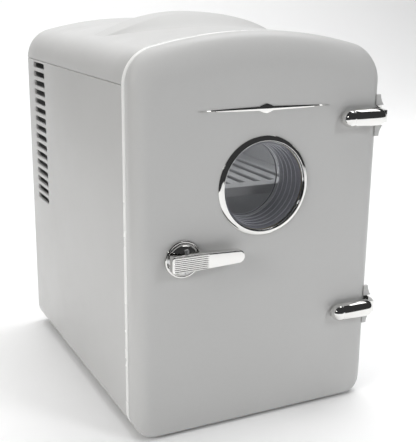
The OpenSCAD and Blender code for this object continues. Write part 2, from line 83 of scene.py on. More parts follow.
HALF = (shell_high.x - shell_low.x) / 2 / MM
DEPTH = (shell_high.y - shell_low.y) / MM
FOOT = limits("front_frame")[2]
CROWN = limits("front_frame")[5]
SEAM = limits("side_shell")[5]
TRIM_FRONT = limits("front_frame")[1]
DOOR_FRONT = limits("door_shell")[1]
DOOR_BACK = limits("door_shell")[4]
WALL = 2.2
ROOF_R = 320
SHOULDER_R = 25
CORNER_R = 16
print(f"cabinet {2 * HALF:.0f} wide, {DEPTH:.0f} deep, {CROWN:.0f} high; door front at {DOOR_FRONT:.1f}")

# %% [markdown]
# ## A small drawing kit
# Most parts here are rings of points with faces between them: a shell is a stack of
# outlines, a knob is a profile turned round an axis, and a pierced wall is a flat sheet
# with holes. A little class that stores rings and joins them keeps each part short.

# %% Rings, strips and sheets
class Sketch:
    """Points in cabinet millimetres and the faces between them."""

    def __init__(self):
        self.points = []
        self.faces = []

    def ring(self, points):
        first = len(self.points)
        self.points += [tuple(p) for p in points]
        return list(range(first, len(self.points)))

    def strip(self, a, b, closed=True):
        count = len(a)
        for i in range(count if closed else count - 1):
            j = (i + 1) % count
            self.faces.append((a[i], a[j], b[j], b[i]))

    def stack(self, rings, closed=True):
        for a, b in zip(rings, rings[1:]):
            self.strip(a, b, closed)

    def sheet(self, *loops):
        """A flat face inside the first loop, with the other loops as holes."""
        order = [i for loop in loops for i in loop]
        corners = [[Vector(self.points[i]) for i in loop] for loop in loops]
        for triangle in tessellate_polygon(corners):
            self.faces.append(tuple(order[k] for k in triangle))

    def loft(self, outlines, caps=True):
        """A closed solid through outlines of the same count."""
        rings = [self.ring(points) for points in outlines]
        self.stack(rings)
        if caps:
            self.faces.append(tuple(reversed(rings[0])))
            self.faces.append(tuple(rings[-1]))
        return rings


def arc(centre, radius, start, end, steps):
    """Points on a circle or an ellipse, from one angle to another in degrees."""
    across, up = radius if isinstance(radius, tuple) else (radius, radius)
    angles = [math.radians(start + (end - start) * k / steps) for k in range(steps + 1)]
    return [(centre[0] + across * math.cos(a), centre[1] + up * math.sin(a)) for a in angles]


def soft_step(value):
    """0 below 0, 1 above 1, and a smooth rise between."""
    t = min(max(value, 0.0), 1.0)
    return t * t * (3 - 2 * t)


def upright(points, y):
    """Flat points (x, z) stood up at one depth."""
    return [(x, y, z) for x, z in points]


print("drawing kit ready")

# %% [markdown]
# ## From a sketch to a piece
# A real moulding has no open seams, so doubled points are merged and the faces are turned
# outwards before a wall is added. Faces that meet gently are shaded smooth, and edges above
# the given angle stay crisp.

# %% Make, settle and register pieces
MERGE = 0.004 * MM


def link(name, mesh):
    obj = bpy.data.objects.new(name, mesh)
    bpy.context.scene.collection.objects.link(obj)
    return obj


def face_out(mesh, open_skin=False):
    """Merges doubled points and turns every face outwards."""
    bm = bmesh.new()
    bm.from_mesh(mesh)
    bmesh.ops.remove_doubles(bm, verts=bm.verts, dist=MERGE)
    bmesh.ops.dissolve_degenerate(bm, edges=bm.edges, dist=MERGE)
    bmesh.ops.recalc_face_normals(bm, faces=bm.faces)
    if open_skin:
        top = max(bm.faces, key=lambda f: f.calc_center_median().z)
        if top.normal.z < 0:
            bmesh.ops.reverse_faces(bm, faces=bm.faces)
    bm.to_mesh(mesh)
    bm.free()


def shade(mesh, angle=35):
    mesh.shade_smooth()
    mesh.set_sharp_from_angle(angle=math.radians(angle))


def settle(obj):
    """Turns an object and its modifiers into one plain mesh."""
    graph = bpy.context.evaluated_depsgraph_get()
    mesh = bpy.data.meshes.new_from_object(obj.evaluated_get(graph))
    old = obj.data
    obj.modifiers.clear()
    obj.data = mesh
    bpy.data.meshes.remove(old)
    return obj


def draw(name, sketch, angle=35, open_skin=False):
    """An object made of a sketch."""
    mesh = bpy.data.meshes.new(name)
    mesh.from_pydata([at(*p) for p in sketch.points], [], sketch.faces)
    face_out(mesh, open_skin)
    shade(mesh, angle)
    return link(name, mesh)


def register(obj, material, slot, body, *nodes):
    """Gives a piece its finish and its body, and hides the CAD nodes that it stands for."""
    obj.data.materials.clear()
    obj.data.materials.append(material)
    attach(obj, body)
    if nodes:
        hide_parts(*nodes)
    print(f"{obj.name}: {len(obj.data.polygons)} faces on {body}")
    return obj


def walled(obj, thickness, angle=35):
    """Gives an open skin a wall on its inner side."""
    modifier = obj.modifiers.new("wall", "SOLIDIFY")
    modifier.thickness = thickness * MM
    modifier.offset = -1
    modifier.use_even_offset = True
    settle(obj)
    shade(obj.data, angle)
    return obj


def soft_edges(obj, width, segments=2, limit=30):
    """Rounds the sharp edges of a closed mesh."""
    modifier = obj.modifiers.new("edges", "BEVEL")
    modifier.width = width * MM
    modifier.segments = segments
    modifier.limit_method = "ANGLE"
    modifier.angle_limit = math.radians(limit)
    modifier.harden_normals = False
    settle(obj)
    shade(obj.data, 50)
    return obj


print("piece helpers ready")

# %% [markdown]
# ## Surface effects as node groups
# Moulded plastic is never one flat colour: it drifts a little in tone, its gloss changes
# where hands touch it, and its skin has a fine spark-eroded grain. Several plastics share
# that effect, so it is one shader group with named inputs. A second group gives the marks
# that fingers and cloths leave on polished metal and clear plastic. A third draws the
# fine parallel lines of rolled or brushed metal.

# %% A helper for shader groups
def shader_group(name, inputs, outputs):
    """An empty shader group with named sockets, and its input and output nodes."""
    tree = bpy.data.node_groups.new(name, "ShaderNodeTree")
    for label, kind, value in inputs:
        socket = tree.interface.new_socket(label, in_out="INPUT", socket_type=kind)
        if value is not None:
            socket.default_value = value
    for label, kind in outputs:
        tree.interface.new_socket(label, in_out="OUTPUT", socket_type=kind)
    return tree, tree.nodes.new("NodeGroupInput"), tree.nodes.new("NodeGroupOutput")


VALUE = "NodeSocketFloat"
COLOR = "NodeSocketColor"
VECTOR = "NodeSocketVector"


def noise(tree, place, scale, detail, rough=0.5):
    """A noise texture read at a place; the scale may be a number or a socket."""
    node = tree.nodes.new("ShaderNodeTexNoise")
    node.inputs["Detail"].default_value = detail
    node.inputs["Roughness"].default_value = rough
    tree.links.new(place, node.inputs["Vector"])
    if isinstance(scale, (int, float)):
        node.inputs["Scale"].default_value = scale
    else:
        tree.links.new(scale, node.inputs["Scale"])
    return node.outputs["Fac"]


def remap(tree, value, low, high, start=0.3, end=0.7):
    """Maps a value onto a new range; low and high may be numbers or sockets."""
    node = tree.nodes.new("ShaderNodeMapRange")
    node.inputs["From Min"].default_value = start
    node.inputs["From Max"].default_value = end
    tree.links.new(value, node.inputs["Value"])
    for socket, given in (("To Min", low), ("To Max", high)):
        if isinstance(given, (int, float)):
            node.inputs[socket].default_value = given
        else:
            tree.links.new(given, node.inputs[socket])
    return node.outputs["Result"]


def sums(tree, operation, a, b):
    """A math node; a and b may be numbers or sockets."""
    node = tree.nodes.new("ShaderNodeMath")
    node.operation = operation
    for socket, given in zip(node.inputs, (a, b)):
        if isinstance(given, (int, float)):
            socket.default_value = given
        else:
            tree.links.new(given, socket)
    return node.outputs["Value"]


def tinted(tree, color, factor):
    """A colour made lighter or darker by a factor about 1."""
    node = tree.nodes.new("ShaderNodeVectorMath")
    node.operation = "SCALE"
    tree.links.new(color, node.inputs[0])
    tree.links.new(factor, node.inputs["Scale"])
    return node.outputs["Vector"]


print("shader helpers ready")

# %% Moulded skin
skin, skin_in, skin_out = shader_group("moulded_skin", [
    ("Place", VECTOR, None), ("Color", COLOR, (0.5, 0.5, 0.5, 1)), ("Tone Spread", VALUE, 0.02),
    ("Gloss Low", VALUE, 0.3), ("Gloss High", VALUE, 0.4), ("Grain Scale", VALUE, 1800.0),
], [("Color", COLOR), ("Roughness", VALUE), ("Height", VALUE)])
place = skin_in.outputs["Place"]
spread = skin_in.outputs["Tone Spread"]
clouds = noise(skin, place, 7.0, 3.0)
tone = remap(skin, clouds, sums(skin, "SUBTRACT", 1.0, spread), sums(skin, "ADD", 1.0, spread))
specks = remap(skin, noise(skin, place, 420.0, 2.0), 0.995, 1.005)
color = tinted(skin, skin_in.outputs["Color"], sums(skin, "MULTIPLY", tone, specks))
skin.links.new(color, skin_out.inputs["Color"])
patches = noise(skin, place, 26.0, 4.0, 0.62)
gloss = remap(skin, patches, skin_in.outputs["Gloss Low"], skin_in.outputs["Gloss High"])
skin.links.new(gloss, skin_out.inputs["Roughness"])
grain = noise(skin, place, skin_in.outputs["Grain Scale"], 2.0, 0.6)
skin.links.new(grain, skin_out.inputs["Height"])
print("moulded_skin:", len(skin.nodes), "nodes")

# %% Handling marks
marks, marks_in, marks_out = shader_group("handling_marks", [
    ("Place", VECTOR, None), ("Clean", VALUE, 0.04), ("Marked", VALUE, 0.12),
], [("Roughness", VALUE), ("Height", VALUE)])
place = marks_in.outputs["Place"]
blots = remap(marks, noise(marks, place, 55.0, 3.0, 0.55), 0.0, 1.0, 0.48, 0.66)
wipes = marks.nodes.new("ShaderNodeTexWave")
wipes.inputs["Scale"].default_value = 90.0
wipes.inputs["Distortion"].default_value = 9.0
wipes.inputs["Detail"].default_value = 2.0
marks.links.new(place, wipes.inputs["Vector"])
film = sums(marks, "MULTIPLY", blots, remap(marks, wipes.outputs["Fac"], 0.4, 1.0, 0.0, 1.0))
rough = remap(marks, film, marks_in.outputs["Clean"], marks_in.outputs["Marked"], 0.0, 1.0)
marks.links.new(rough, marks_out.inputs["Roughness"])
marks.links.new(noise(marks, place, 140.0, 1.0), marks_out.inputs["Height"])
print("handling_marks:", len(marks.nodes), "nodes")

# %% Drawn lines on bare metal
lines, lines_in, lines_out = shader_group("drawn_lines", [
    ("Place", VECTOR, None), ("Color", COLOR, (0.6, 0.6, 0.6, 1)), ("Stretch", VECTOR, (60, 60, 4000)),
    ("Gloss Low", VALUE, 0.25), ("Gloss High", VALUE, 0.45),
], [("Color", COLOR), ("Roughness", VALUE), ("Height", VALUE)])
scaled = lines.nodes.new("ShaderNodeVectorMath")
scaled.operation = "MULTIPLY"
lines.links.new(lines_in.outputs["Place"], scaled.inputs[0])
lines.links.new(lines_in.outputs["Stretch"], scaled.inputs[1])
streaks = noise(lines, scaled.outputs["Vector"], 1.0, 3.0, 0.6)
color = tinted(lines, lines_in.outputs["Color"], remap(lines, streaks, 0.93, 1.05))
gloss = remap(lines, streaks, lines_in.outputs["Gloss Low"], lines_in.outputs["Gloss High"])
lines.links.new(color, lines_out.inputs["Color"])
lines.links.new(gloss, lines_out.inputs["Roughness"])
lines.links.new(streaks, lines_out.inputs["Height"])
print("drawn_lines:", len(lines.nodes), "nodes")

# %% [markdown]
# ## Finishes
# Each finish is a Principled shader fed by one of the groups. What is the same all over,
# such as the index of refraction or the coat's own roughness, is set on the shader itself.
# The grey is a satin paint film: a mid grey with a soft coat, so the rolled edges of the
# door show a wide, quiet highlight. The chrome is plated plastic, which is why its mirror
# is a little wavy.

# %% A helper that starts a finish
def finish_with(name, group, values, bump=0.0, bump_reach=0.1 * MM, **sockets):
    """A material whose group feeds colour, roughness and bump; sockets are set on the shader."""
    material = bpy.data.materials.new(name)
    material.use_nodes = True
    tree = material.node_tree
    shader = tree.nodes["Principled BSDF"]
    for label, value in sockets.items():
        shader.inputs[label.replace("_", " ")].default_value = value
    where = tree.nodes.new("ShaderNodeTexCoord").outputs["Object"]
    effect = tree.nodes.new("ShaderNodeGroup")
    effect.node_tree = group
    tree.links.new(where, effect.inputs["Place"])
    for label, value in values.items():
        effect.inputs[label].default_value = value
    if "Color" in effect.outputs:
        tree.links.new(effect.outputs["Color"], shader.inputs["Base Color"])
    tree.links.new(effect.outputs["Roughness"], shader.inputs["Roughness"])
    if bump:
        relief = tree.nodes.new("ShaderNodeBump")
        relief.inputs["Strength"].default_value = bump
        relief.inputs["Distance"].default_value = bump_reach
        tree.links.new(effect.outputs["Height"], relief.inputs["Height"])
        tree.links.new(relief.outputs["Normal"], shader.inputs["Normal"])
    return material


print("finish helper ready")

# %% Plastics and rubber
def moulded(name, color, gloss, tone=0.02, grain=1800.0, bump=0.15, **sockets):
    values = {"Color": color, "Tone Spread": tone, "Gloss Low": gloss[0],
              "Gloss High": gloss[1], "Grain Scale": grain}
    return finish_with(name, skin, values, bump, **sockets)


body_grey = moulded("satin_grey", (0.540, 0.539, 0.533, 1), (0.30, 0.42), 0.015, 2600.0, 0.06,
                    Coat_Weight=0.12, Coat_Roughness=0.25)
trim_white = moulded("gloss_white", (0.86, 0.86, 0.85, 1), (0.22, 0.32), 0.01, 1500.0, 0.04)
liner_white = moulded("liner_white", (0.80, 0.81, 0.82, 1), (0.32, 0.48), 0.015, 1400.0, 0.12)
black_plastic = moulded("black_plastic", (0.020, 0.020, 0.022, 1), (0.38, 0.55), 0.12, 1600.0, 0.3)
rubber = moulded("foot_rubber", (0.030, 0.030, 0.031, 1), (0.65, 0.85), 0.15, 900.0, 0.5)
gasket_grey = moulded("gasket_grey", (0.52, 0.53, 0.54, 1), (0.50, 0.66), 0.03, 700.0, 0.25)
switch_red = moulded("switch_red", (0.50, 0.018, 0.014, 1), (0.20, 0.34), 0.04, 1500.0, 0.1)
magnet_grey = moulded("magnet_grey", (0.055, 0.053, 0.050, 1), (0.55, 0.75), 0.15, 2400.0, 0.5)
ceramic = moulded("ceramic_white", (0.82, 0.82, 0.80, 1), (0.30, 0.50), 0.03, 3000.0, 0.2)
foam = moulded("foam_cream", (0.78, 0.70, 0.50, 1), (0.80, 0.95), 0.06, 500.0, 1.0)
amber = moulded("component_amber", (0.62, 0.30, 0.035, 1), (0.28, 0.50), 0.08, 900.0, 0.3)
print("plastics:", [m.name for m in bpy.data.materials if m.use_nodes])

# %% Metals
def drawn(name, color, stretch, gloss, bump=0.2):
    values = {"Color": color, "Stretch": stretch, "Gloss Low": gloss[0], "Gloss High": gloss[1]}
    return finish_with(name, lines, values, bump, 0.05 * MM, Metallic=1.0)


steel = drawn("turned_steel", (0.56, 0.56, 0.57, 1), (900, 900, 900), (0.22, 0.38))
aluminium = drawn("drawn_aluminium", (0.74, 0.75, 0.76, 1), (50, 2500, 2500), (0.28, 0.46))
chrome = finish_with("plated_chrome", marks, {"Clean": 0.035, "Marked": 0.10}, 0.05, 0.4 * MM,
                     Metallic=1.0, Base_Color=(0.80, 0.795, 0.78, 1))
print("metals:", steel.name, aluminium.name, chrome.name)

# %% [markdown]
# Clear plastic is drawn as thin films: each surface lets light straight through and mirrors
# by its Fresnel share. That keeps the light that falls in through the porthole, which a
# solid glass shader would lose. The index is kept low, so that the broad pale floor doesn't
# grey the view inside. A small veil is added for plastic that is not quite clear. The rear
# pane's dark veil is painted shade that dims the view inside, and the near-white rings on
# the sleeve's steps are painted highlights.

# %% Clear plastic
def see_through(name, color, veil, metallic):
    """Clear plastic: opacity is a veil plus the Fresnel share."""
    film = finish_with(name, marks, {"Clean": 0.02, "Marked": 0.08}, 0.04, 0.3 * MM,
                       Base_Color=color, Metallic=metallic)
    tree = film.node_tree
    fresnel = tree.nodes.new("ShaderNodeFresnel")
    fresnel.inputs["IOR"].default_value = 1.25
    opacity = tree.nodes.new("ShaderNodeMath")
    opacity.use_clamp = True
    opacity.inputs[1].default_value = veil
    tree.links.new(fresnel.outputs["Fac"], opacity.inputs[0])
    tree.links.new(opacity.outputs["Value"], tree.nodes["Principled BSDF"].inputs["Alpha"])
    return film


clear = see_through("clear_acrylic", (0.88, 0.90, 0.95, 1), 0.005, 1.0)
veiled = see_through("veiled_acrylic", (0.56, 0.56, 0.63, 1), 0.20, 0.0)
# The next film is painted shade: a dark veil on the rear pane that dims the view into the cabinet.
pane_shade_film = see_through("smoky_acrylic", (0.03, 0.03, 0.04, 1), 0.25, 0.0)
# The next film is a painted highlight: near-white and almost opaque, for thin rings that stand in for the
# light the sleeve's steps catch.
step_highlight_film = see_through("bright_step", (0.90, 0.90, 0.97, 1), 0.90, 0.0)
print("clear films:", clear.name, veiled.name, pane_shade_film.name, step_highlight_film.name)

# %% [markdown]
# ## The circuit board
# A power board is green solder mask with paler copper tracks under it. Tracks run in
# straight lanes, so a brick pattern with thin mortar gives believable lanes without
# drawing any circuit.

# %% Board finish
board_green = moulded("board_green", (0.015, 0.12, 0.045, 1), (0.25, 0.40), 0.10, 700.0, 0.2)
tree = board_green.node_tree
shader = tree.nodes["Principled BSDF"]
masked = tree.nodes.new("ShaderNodeTexBrick")
masked.inputs["Scale"].default_value = 160.0
masked.inputs["Mortar Size"].default_value = 0.03
masked.inputs["Mortar"].default_value = (0.08, 0.30, 0.12, 1)
lanes = tree.nodes.new("ShaderNodeMapping")
lanes.inputs["Rotation"].default_value = (math.radians(90), 0, 0)
tree.links.new(tree.nodes["Texture Coordinate"].outputs["Object"], lanes.inputs["Vector"])
tree.links.new(lanes.outputs["Vector"], masked.inputs["Vector"])
effect = tree.nodes["Group"]
for label in ("Color1", "Color2"):
    tree.links.new(effect.outputs["Color"], masked.inputs[label])
tree.links.new(masked.outputs["Color"], shader.inputs["Base Color"])
print("board finish ready")

# %% [markdown]
# ## The camera
# The object is seen from its left, a little above, so that the side, the front and the
# roof all show. The camera stands about 0.7 m away, which is why the near edge of the
# cabinet looks clearly taller than the far one.

# %% Camera
CAMERA_AT = (-0.2913, -0.6117, 0.3120)
TURN, TILT, ROLL = math.radians(-26.58), math.radians(15.58), math.radians(0.79)
LENS = 67.5
backward = Vector((math.sin(TURN) * math.cos(TILT), -math.cos(TURN) * math.cos(TILT), math.sin(TILT)))
right = (-backward).cross(Vector((0, 0, 1))).normalized()
up = right.cross(-backward)
rolled_right = math.cos(ROLL) * right + math.sin(ROLL) * up
rolled_up = -math.sin(ROLL) * right + math.cos(ROLL) * up
pose = Matrix((rolled_right, rolled_up, backward)).transposed().to_4x4()
pose.translation = Vector(CAMERA_AT)
camera = bpy.data.objects.new("camera", bpy.data.cameras.new("camera"))
camera.data.lens = LENS
camera.data.sensor_width = 36
camera.data.clip_start = 0.02
camera.matrix_world = pose
bpy.context.scene.collection.objects.link(camera)
bpy.context.scene.camera = camera
print("camera lens", camera.data.lens, "mm")

# %% [markdown]
# ## The cabinet's outline
# Seen from the front, the cabinet is an arch: a shallow roof curve that turns down into
# the sides round two shoulders, straight sides, and small bottom corners. One function
# draws that outline at any inset, always with the same number of points, so two outlines
# can be joined point to point.

# %% Arch outline
def arched(half, top, floor, roof, shoulder, corner):
    """Arch outline: half width, crown, floor, and the three radii."""
    middle = top - roof
    knee = middle + math.sqrt((roof - shoulder) ** 2 - (half - shoulder) ** 2)
    tilt = math.degrees(math.atan2(knee - middle, half - shoulder))
    points = arc((half - corner, floor + corner), corner, -90, 0, 10)
    points += arc((half - shoulder, knee), shoulder, 0, tilt, 16)
    points += arc((0, middle), roof, tilt, 180 - tilt, 44)[1:-1]
    points += arc((shoulder - half, knee), shoulder, 180 - tilt, 180, 16)
    points += arc((corner - half, floor + corner), corner, 180, 270, 10)
    return points


def cabinet_line(inset=0.0, drop=0.0):
    """The cabinet's own outline, drawn in by an inset."""
    return arched(HALF - inset, CROWN - inset - drop, FOOT + inset, ROOF_R - inset,
                  max(SHOULDER_R - inset, 4), max(CORNER_R - inset, 3))


def rounded(x, z, half_w, half_h, r, steps=8):
    """A rounded rectangle about a centre."""
    points = []
    for turn, (sx, sz) in enumerate(((1, -1), (1, 1), (-1, 1), (-1, -1))):
        centre = (x + sx * (half_w - r), z + sz * (half_h - r))
        points += arc(centre, r, turn * 90 - 90, turn * 90, steps)
    return points


ROOF_MIDDLE = CROWN - ROOF_R
KNEE = ROOF_MIDDLE + math.sqrt((ROOF_R - SHOULDER_R) ** 2 - (HALF - SHOULDER_R) ** 2)
SHOULDER_TILT = math.degrees(math.atan2(KNEE - ROOF_MIDDLE, HALF - SHOULDER_R))
print("outline points:", len(cabinet_line()), "shoulders start at", round(KNEE, 1))

# %% [markdown]
# ## The grey side and floor shell
# One grey sheet runs down the left side, under the floor and up the right side. It has a
# column of air slots on each side near the back, and more slots in the floor under the fan.
# The slots are cut as real holes with a small chamfer, because their dark insides and
# bright lips are what the eye reads. The front and back edges are turned in a little.

# %% Side shell profile and slots
SEAM_LIP = 0.5
BACK_FILLET = 1.4
SLOTS = 16
SLOT_PITCH = 7.8
SLOT_Z = 130.5
SLOT_HALF = 2.25
SLOT_BACK = 217.0
SLOT_LONG = 33.0
CHAMFER = 0.45


def u_profile(inset):
    """From the right seam down, under the floor and up to the left seam."""
    half, floor, r = HALF - inset, FOOT + inset, CORNER_R - inset
    right_side = [(half - SEAM_LIP, SEAM - 0.1), (half, SEAM - 0.1 - SEAM_LIP)]
    right_side += arc((half - r, floor + r), r, 0, -90, 10)
    return right_side + [(-x, z) for x, z in reversed(right_side)]


def side_slot(side, index, grow, depth):
    """One air slot in a side, at a depth below the surface."""
    y = SLOT_BACK - SLOT_LONG / 2
    loop = rounded(y, SLOT_Z + index * SLOT_PITCH, SLOT_LONG / 2 + grow, SLOT_HALF + grow, 1.6 + grow, 4)
    return [(side * (HALF - depth), y, z) for y, z in loop]


def floor_slot(index, grow, depth):
    loop = rounded(index * 9.0, 207.0, 2.0 + grow, 15.0 + grow, 1.6 + grow, 4)
    return [(x, y, FOOT + depth) for x, y in loop]


print("slots:", 2 * SLOTS, "in the sides and 9 in the floor")

# %% Build the side shell
def pierced(sketch, outer, inner, makers):
    """A flat wall with holes: outer and inner corners, and one loop maker per hole."""
    faces, backs = [], []
    for maker in makers:
        mouth, throat, back = (sketch.ring(maker(g, d)) for g, d in
                               ((CHAMFER, 0), (0, CHAMFER), (0, WALL)))
        sketch.stack([mouth, throat, back])
        faces.append(mouth)
        backs.append(back)
    sketch.sheet(outer, *faces)
    sketch.sheet(inner, *backs)


def turned_edge(radius, start, end, steps=4):
    """Depths and insets that round an edge between two depths, seen from the side."""
    front = [(start + SEAM_LIP * (1 - math.sin(a)), SEAM_LIP * (1 - math.cos(a)))
             for a in (math.radians(90 - 90 * k / 2) for k in range(3))]
    back = [(end - radius * (1 - math.sin(a)), radius * (1 - math.cos(a)))
            for a in (math.radians(90 * k / steps) for k in range(steps + 1))]
    return front, back


front_edge, back_edge = turned_edge(BACK_FILLET, 0, DEPTH)
levels = front_edge + back_edge
shell = Sketch()
outer = [shell.ring(upright(u_profile(inset), y)) for y, inset in levels]
inner = [shell.ring(upright(u_profile(WALL), y)) for y in (0, DEPTH)]
main = len(front_edge) - 1
last = len(outer[0]) - 1
FLATS = {1: 1, len(outer[0]) // 2 - 1: 0, last - 2: -1}
for level in range(len(levels) - 1):
    for i in range(last):
        corners = (outer[level][i], outer[level][i + 1], outer[level + 1][i + 1], outer[level + 1][i])
        if level != main or i not in FLATS:
            shell.faces.append(corners)
            continue
        backing = (inner[0][i], inner[0][i + 1], inner[1][i + 1], inner[1][i])
        side = FLATS[i]
        if side:
            makers = [lambda g, d, s=side, k=k: side_slot(s, k, g, d) for k in range(SLOTS)]
        else:
            makers = [lambda g, d, k=k: floor_slot(k, g, d) for k in range(-4, 5)]
        pierced(shell, corners, backing, makers)
for i in range(last):
    if i not in FLATS:
        shell.faces.append((inner[0][i], inner[0][i + 1], inner[1][i + 1], inner[1][i]))
shell.strip(outer[0], inner[0], closed=False)
shell.strip(outer[-1], inner[-1], closed=False)
for end in (0, last):
    shell.faces.append(tuple([ring[end] for ring in outer] + [inner[1][end], inner[0][end]]))
side_shell = draw("side_shell_skin", shell, 32)
register(side_shell, body_grey, "body_grey", "cabinet", "side_shell")

# %% [markdown]
# ## The roof with its finger well
# The roof is a shallow arch that rolls over the two shoulders down to the seam. Behind its
# middle is an oval well, so that fingers can reach under the carry handle. A well that is
# cut with a boolean leaves a hard rim, so it is drawn as rings round the oval instead:
# flat roof, rounded rim, wall, rounded foot and floor. The rings then fan out to the
# roof's straight edges.

# %% Roof helpers
WELL_Y = 125.0
WELL_HALF = 33.0
WELL_R = 27.0
WELL_FLOOR = 264.0
ROOF_EDGE = ROOF_R * math.cos(math.radians(SHOULDER_TILT))
END_STEPS = 24
SIDE_STEPS = 10


def roof_z(x):
    return ROOF_MIDDLE + math.sqrt(ROOF_R ** 2 - x ** 2)


def between(a, b, steps):
    """Points strictly between two points."""
    return [(a[0] + (b[0] - a[0]) * k / steps, a[1] + (b[1] - a[1]) * k / steps) for k in range(1, steps)]


def oval(grow):
    """The well's oval seen from above, grown by a distance."""
    ends = [arc((s * WELL_HALF, WELL_Y), WELL_R + grow, start, start + 180, END_STEPS)
            for s, start in ((1, -90), (-1, 90))]
    return ends[0] + between(ends[0][-1], ends[1][0], SIDE_STEPS) + ends[1] \
        + between(ends[1][-1], ends[0][0], SIDE_STEPS)


def roof_frame(y0, y1):
    """The roof's straight edges, with as many points as the oval."""
    half = []
    quarter = END_STEPS // 4
    corners = [(WELL_HALF, y0), (ROOF_EDGE, y0), (ROOF_EDGE, y1), (WELL_HALF, y1)]
    for a, b, steps in zip(corners, corners[1:], (quarter, 2 * quarter, quarter)):
        half += [a] + between(a, b, steps)
    half.append(corners[-1])
    other = [(-x, y0 + y1 - y) for x, y in half]
    return half + between(half[-1], other[0], SIDE_STEPS) + other + between(other[-1], half[0], SIDE_STEPS)


print("oval points:", len(oval(0)), "frame points:", len(roof_frame(0, 1)))

# %% Build the roof
RIM = 3.0
FOOT_FILLET = 4.0
DRAFT = 1.5
roof = Sketch()
first_y, last_y = front_edge[-1][0], back_edge[0][0]
straight = roof_frame(first_y, last_y)
rings = []
rings.append(roof.ring([(x, y, WELL_FLOOR) for x, y in oval(-DRAFT - FOOT_FILLET - 8)]))
for k in range(5):
    a = math.radians(90 * k / 4)
    inward, rise = -DRAFT - FOOT_FILLET * (1 - math.sin(a)), FOOT_FILLET * (1 - math.cos(a))
    rings.append(roof.ring([(x, y, WELL_FLOOR + rise) for x, y in oval(inward)]))
for k in range(6):
    a = math.radians(90 - 90 * k / 5)
    rings.append(roof.ring([(x, y, roof_z(x) - RIM * (1 - math.cos(a)))
                            for x, y in oval(RIM * (1 - math.sin(a)))]))
for grow in (8.0, 14.0):
    rings.append(roof.ring([(x, y, roof_z(x)) for x, y in oval(grow)]))
start_ring = oval(14.0)
for k in range(1, 7):
    mixed = [(a + (c - a) * k / 6, b + (d - b) * k / 6) for (a, b), (c, d) in zip(start_ring, straight)]
    rings.append(roof.ring([(x, y, roof_z(x)) for x, y in mixed]))
roof.faces.append(tuple(rings[0]))
roof.stack(rings)
quarter = END_STEPS // 4
right_edge = rings[-1][quarter:3 * quarter + 1]
half_count = END_STEPS + SIDE_STEPS
left_edge = rings[-1][half_count + quarter:half_count + 3 * quarter + 1]


def shoulder_row(side, y):
    """Points over one shoulder, down to the lip at the seam."""
    lowest = math.degrees(math.asin((SEAM_LIP + 0.1 + SEAM - KNEE) / SHOULDER_R))
    row = arc((HALF - SHOULDER_R, KNEE), SHOULDER_R, SHOULDER_TILT, lowest, 14)[1:]
    return [(side * x, y, z) for x, z in row + [(HALF - SEAM_LIP, SEAM + 0.1)]]


sides = {}
for side, edge in ((1, right_edge), (-1, left_edge)):
    rows = [[i] + roof.ring(shoulder_row(side, roof.points[i][1])) for i in edge]
    roof.stack(rows, closed=False)
    sides[side] = rows
top_front = [rings[-1][(k + half_count + 3 * quarter) % (2 * half_count)]
             for k in range(2 * quarter + SIDE_STEPS + 1)]
top_back = [rings[-1][3 * quarter + k] for k in range(2 * quarter + SIDE_STEPS + 1)]
front_chain = list(reversed(sides[-1][-1]))[:-1] + top_front + sides[1][0][1:]
back_chain = list(reversed(sides[1][-1]))[:-1] + top_back + sides[-1][0][1:]


def inset_point(point, inset, y):
    """A roof or shoulder point drawn in towards its own centre."""
    x, _, z = point
    if z < KNEE + SEAM_LIP + 0.2:
        away = Vector((math.copysign(1, x), 0))
    elif abs(x) > ROOF_EDGE:
        away = Vector((x - math.copysign(HALF - SHOULDER_R, x), z - KNEE)).normalized()
    else:
        away = Vector((x, z - ROOF_MIDDLE)).normalized()
    return (x - away.x * inset, y, z - away.y * inset)


for chain, edge in ((front_chain, list(reversed(front_edge))[1:]), (back_chain, back_edge[1:])):
    rows = [chain]
    for y, inset in edge:
        rows.append(roof.ring([inset_point(roof.points[i], inset, y) for i in chain]))
    roof.stack(rows, closed=False)
top_cover = draw("roof_skin", roof, 40, open_skin=True)
walled(top_cover, WALL, 40)
register(top_cover, body_grey, "body_grey", "cabinet", "top_cover")

# %% [markdown]
# ## The carry handle
# The front of the roof swells up in a long S to a lip that stands over the well, and the
# fingers reach under the lip from behind. Sideways the swell follows its own, tighter arc.
# Where two surfaces meet, a smooth minimum or maximum takes the place of a sharp line, so
# the swell grows out of the roof without a seam.

# %% Carry handle profile
GRIP_TOP = limits("carry_handle")[5]
GRIP_R = 156.0
LIP_FRONT, LIP_BACK, CREST, TOE = 98.6, 122.0, 106.0, 50.0
GRIP_THICK = 7.0
GRIP_REACH = 76.0
SECTIONS = 76
SLOPE_STEPS = 36


def smooth_max(a, b, width):
    return (a + b + math.sqrt((a - b) ** 2 + width)) / 2


def smooth_min(a, b, width):
    return -smooth_max(-a, -b, width)


def grip_arc(x):
    return GRIP_TOP - GRIP_R + math.sqrt(GRIP_R ** 2 - x ** 2)


def toe_y(x):
    """Where the swell leaves the roof: its foot bends back towards the sides."""
    return TOE + 30.0 * min(abs(x) / 60.0, 1.2) ** 2


def swell_z(x, y):
    """Top of the swell: the roof plus an S, held down by the handle's own arc."""
    slope = roof_z(x) - 0.2 + 10.4 * soft_step((y - toe_y(x)) / (CREST - toe_y(x)))
    return smooth_min(slope, smooth_max(grip_arc(x), roof_z(x) - 1.0, 4.0), 0.6)


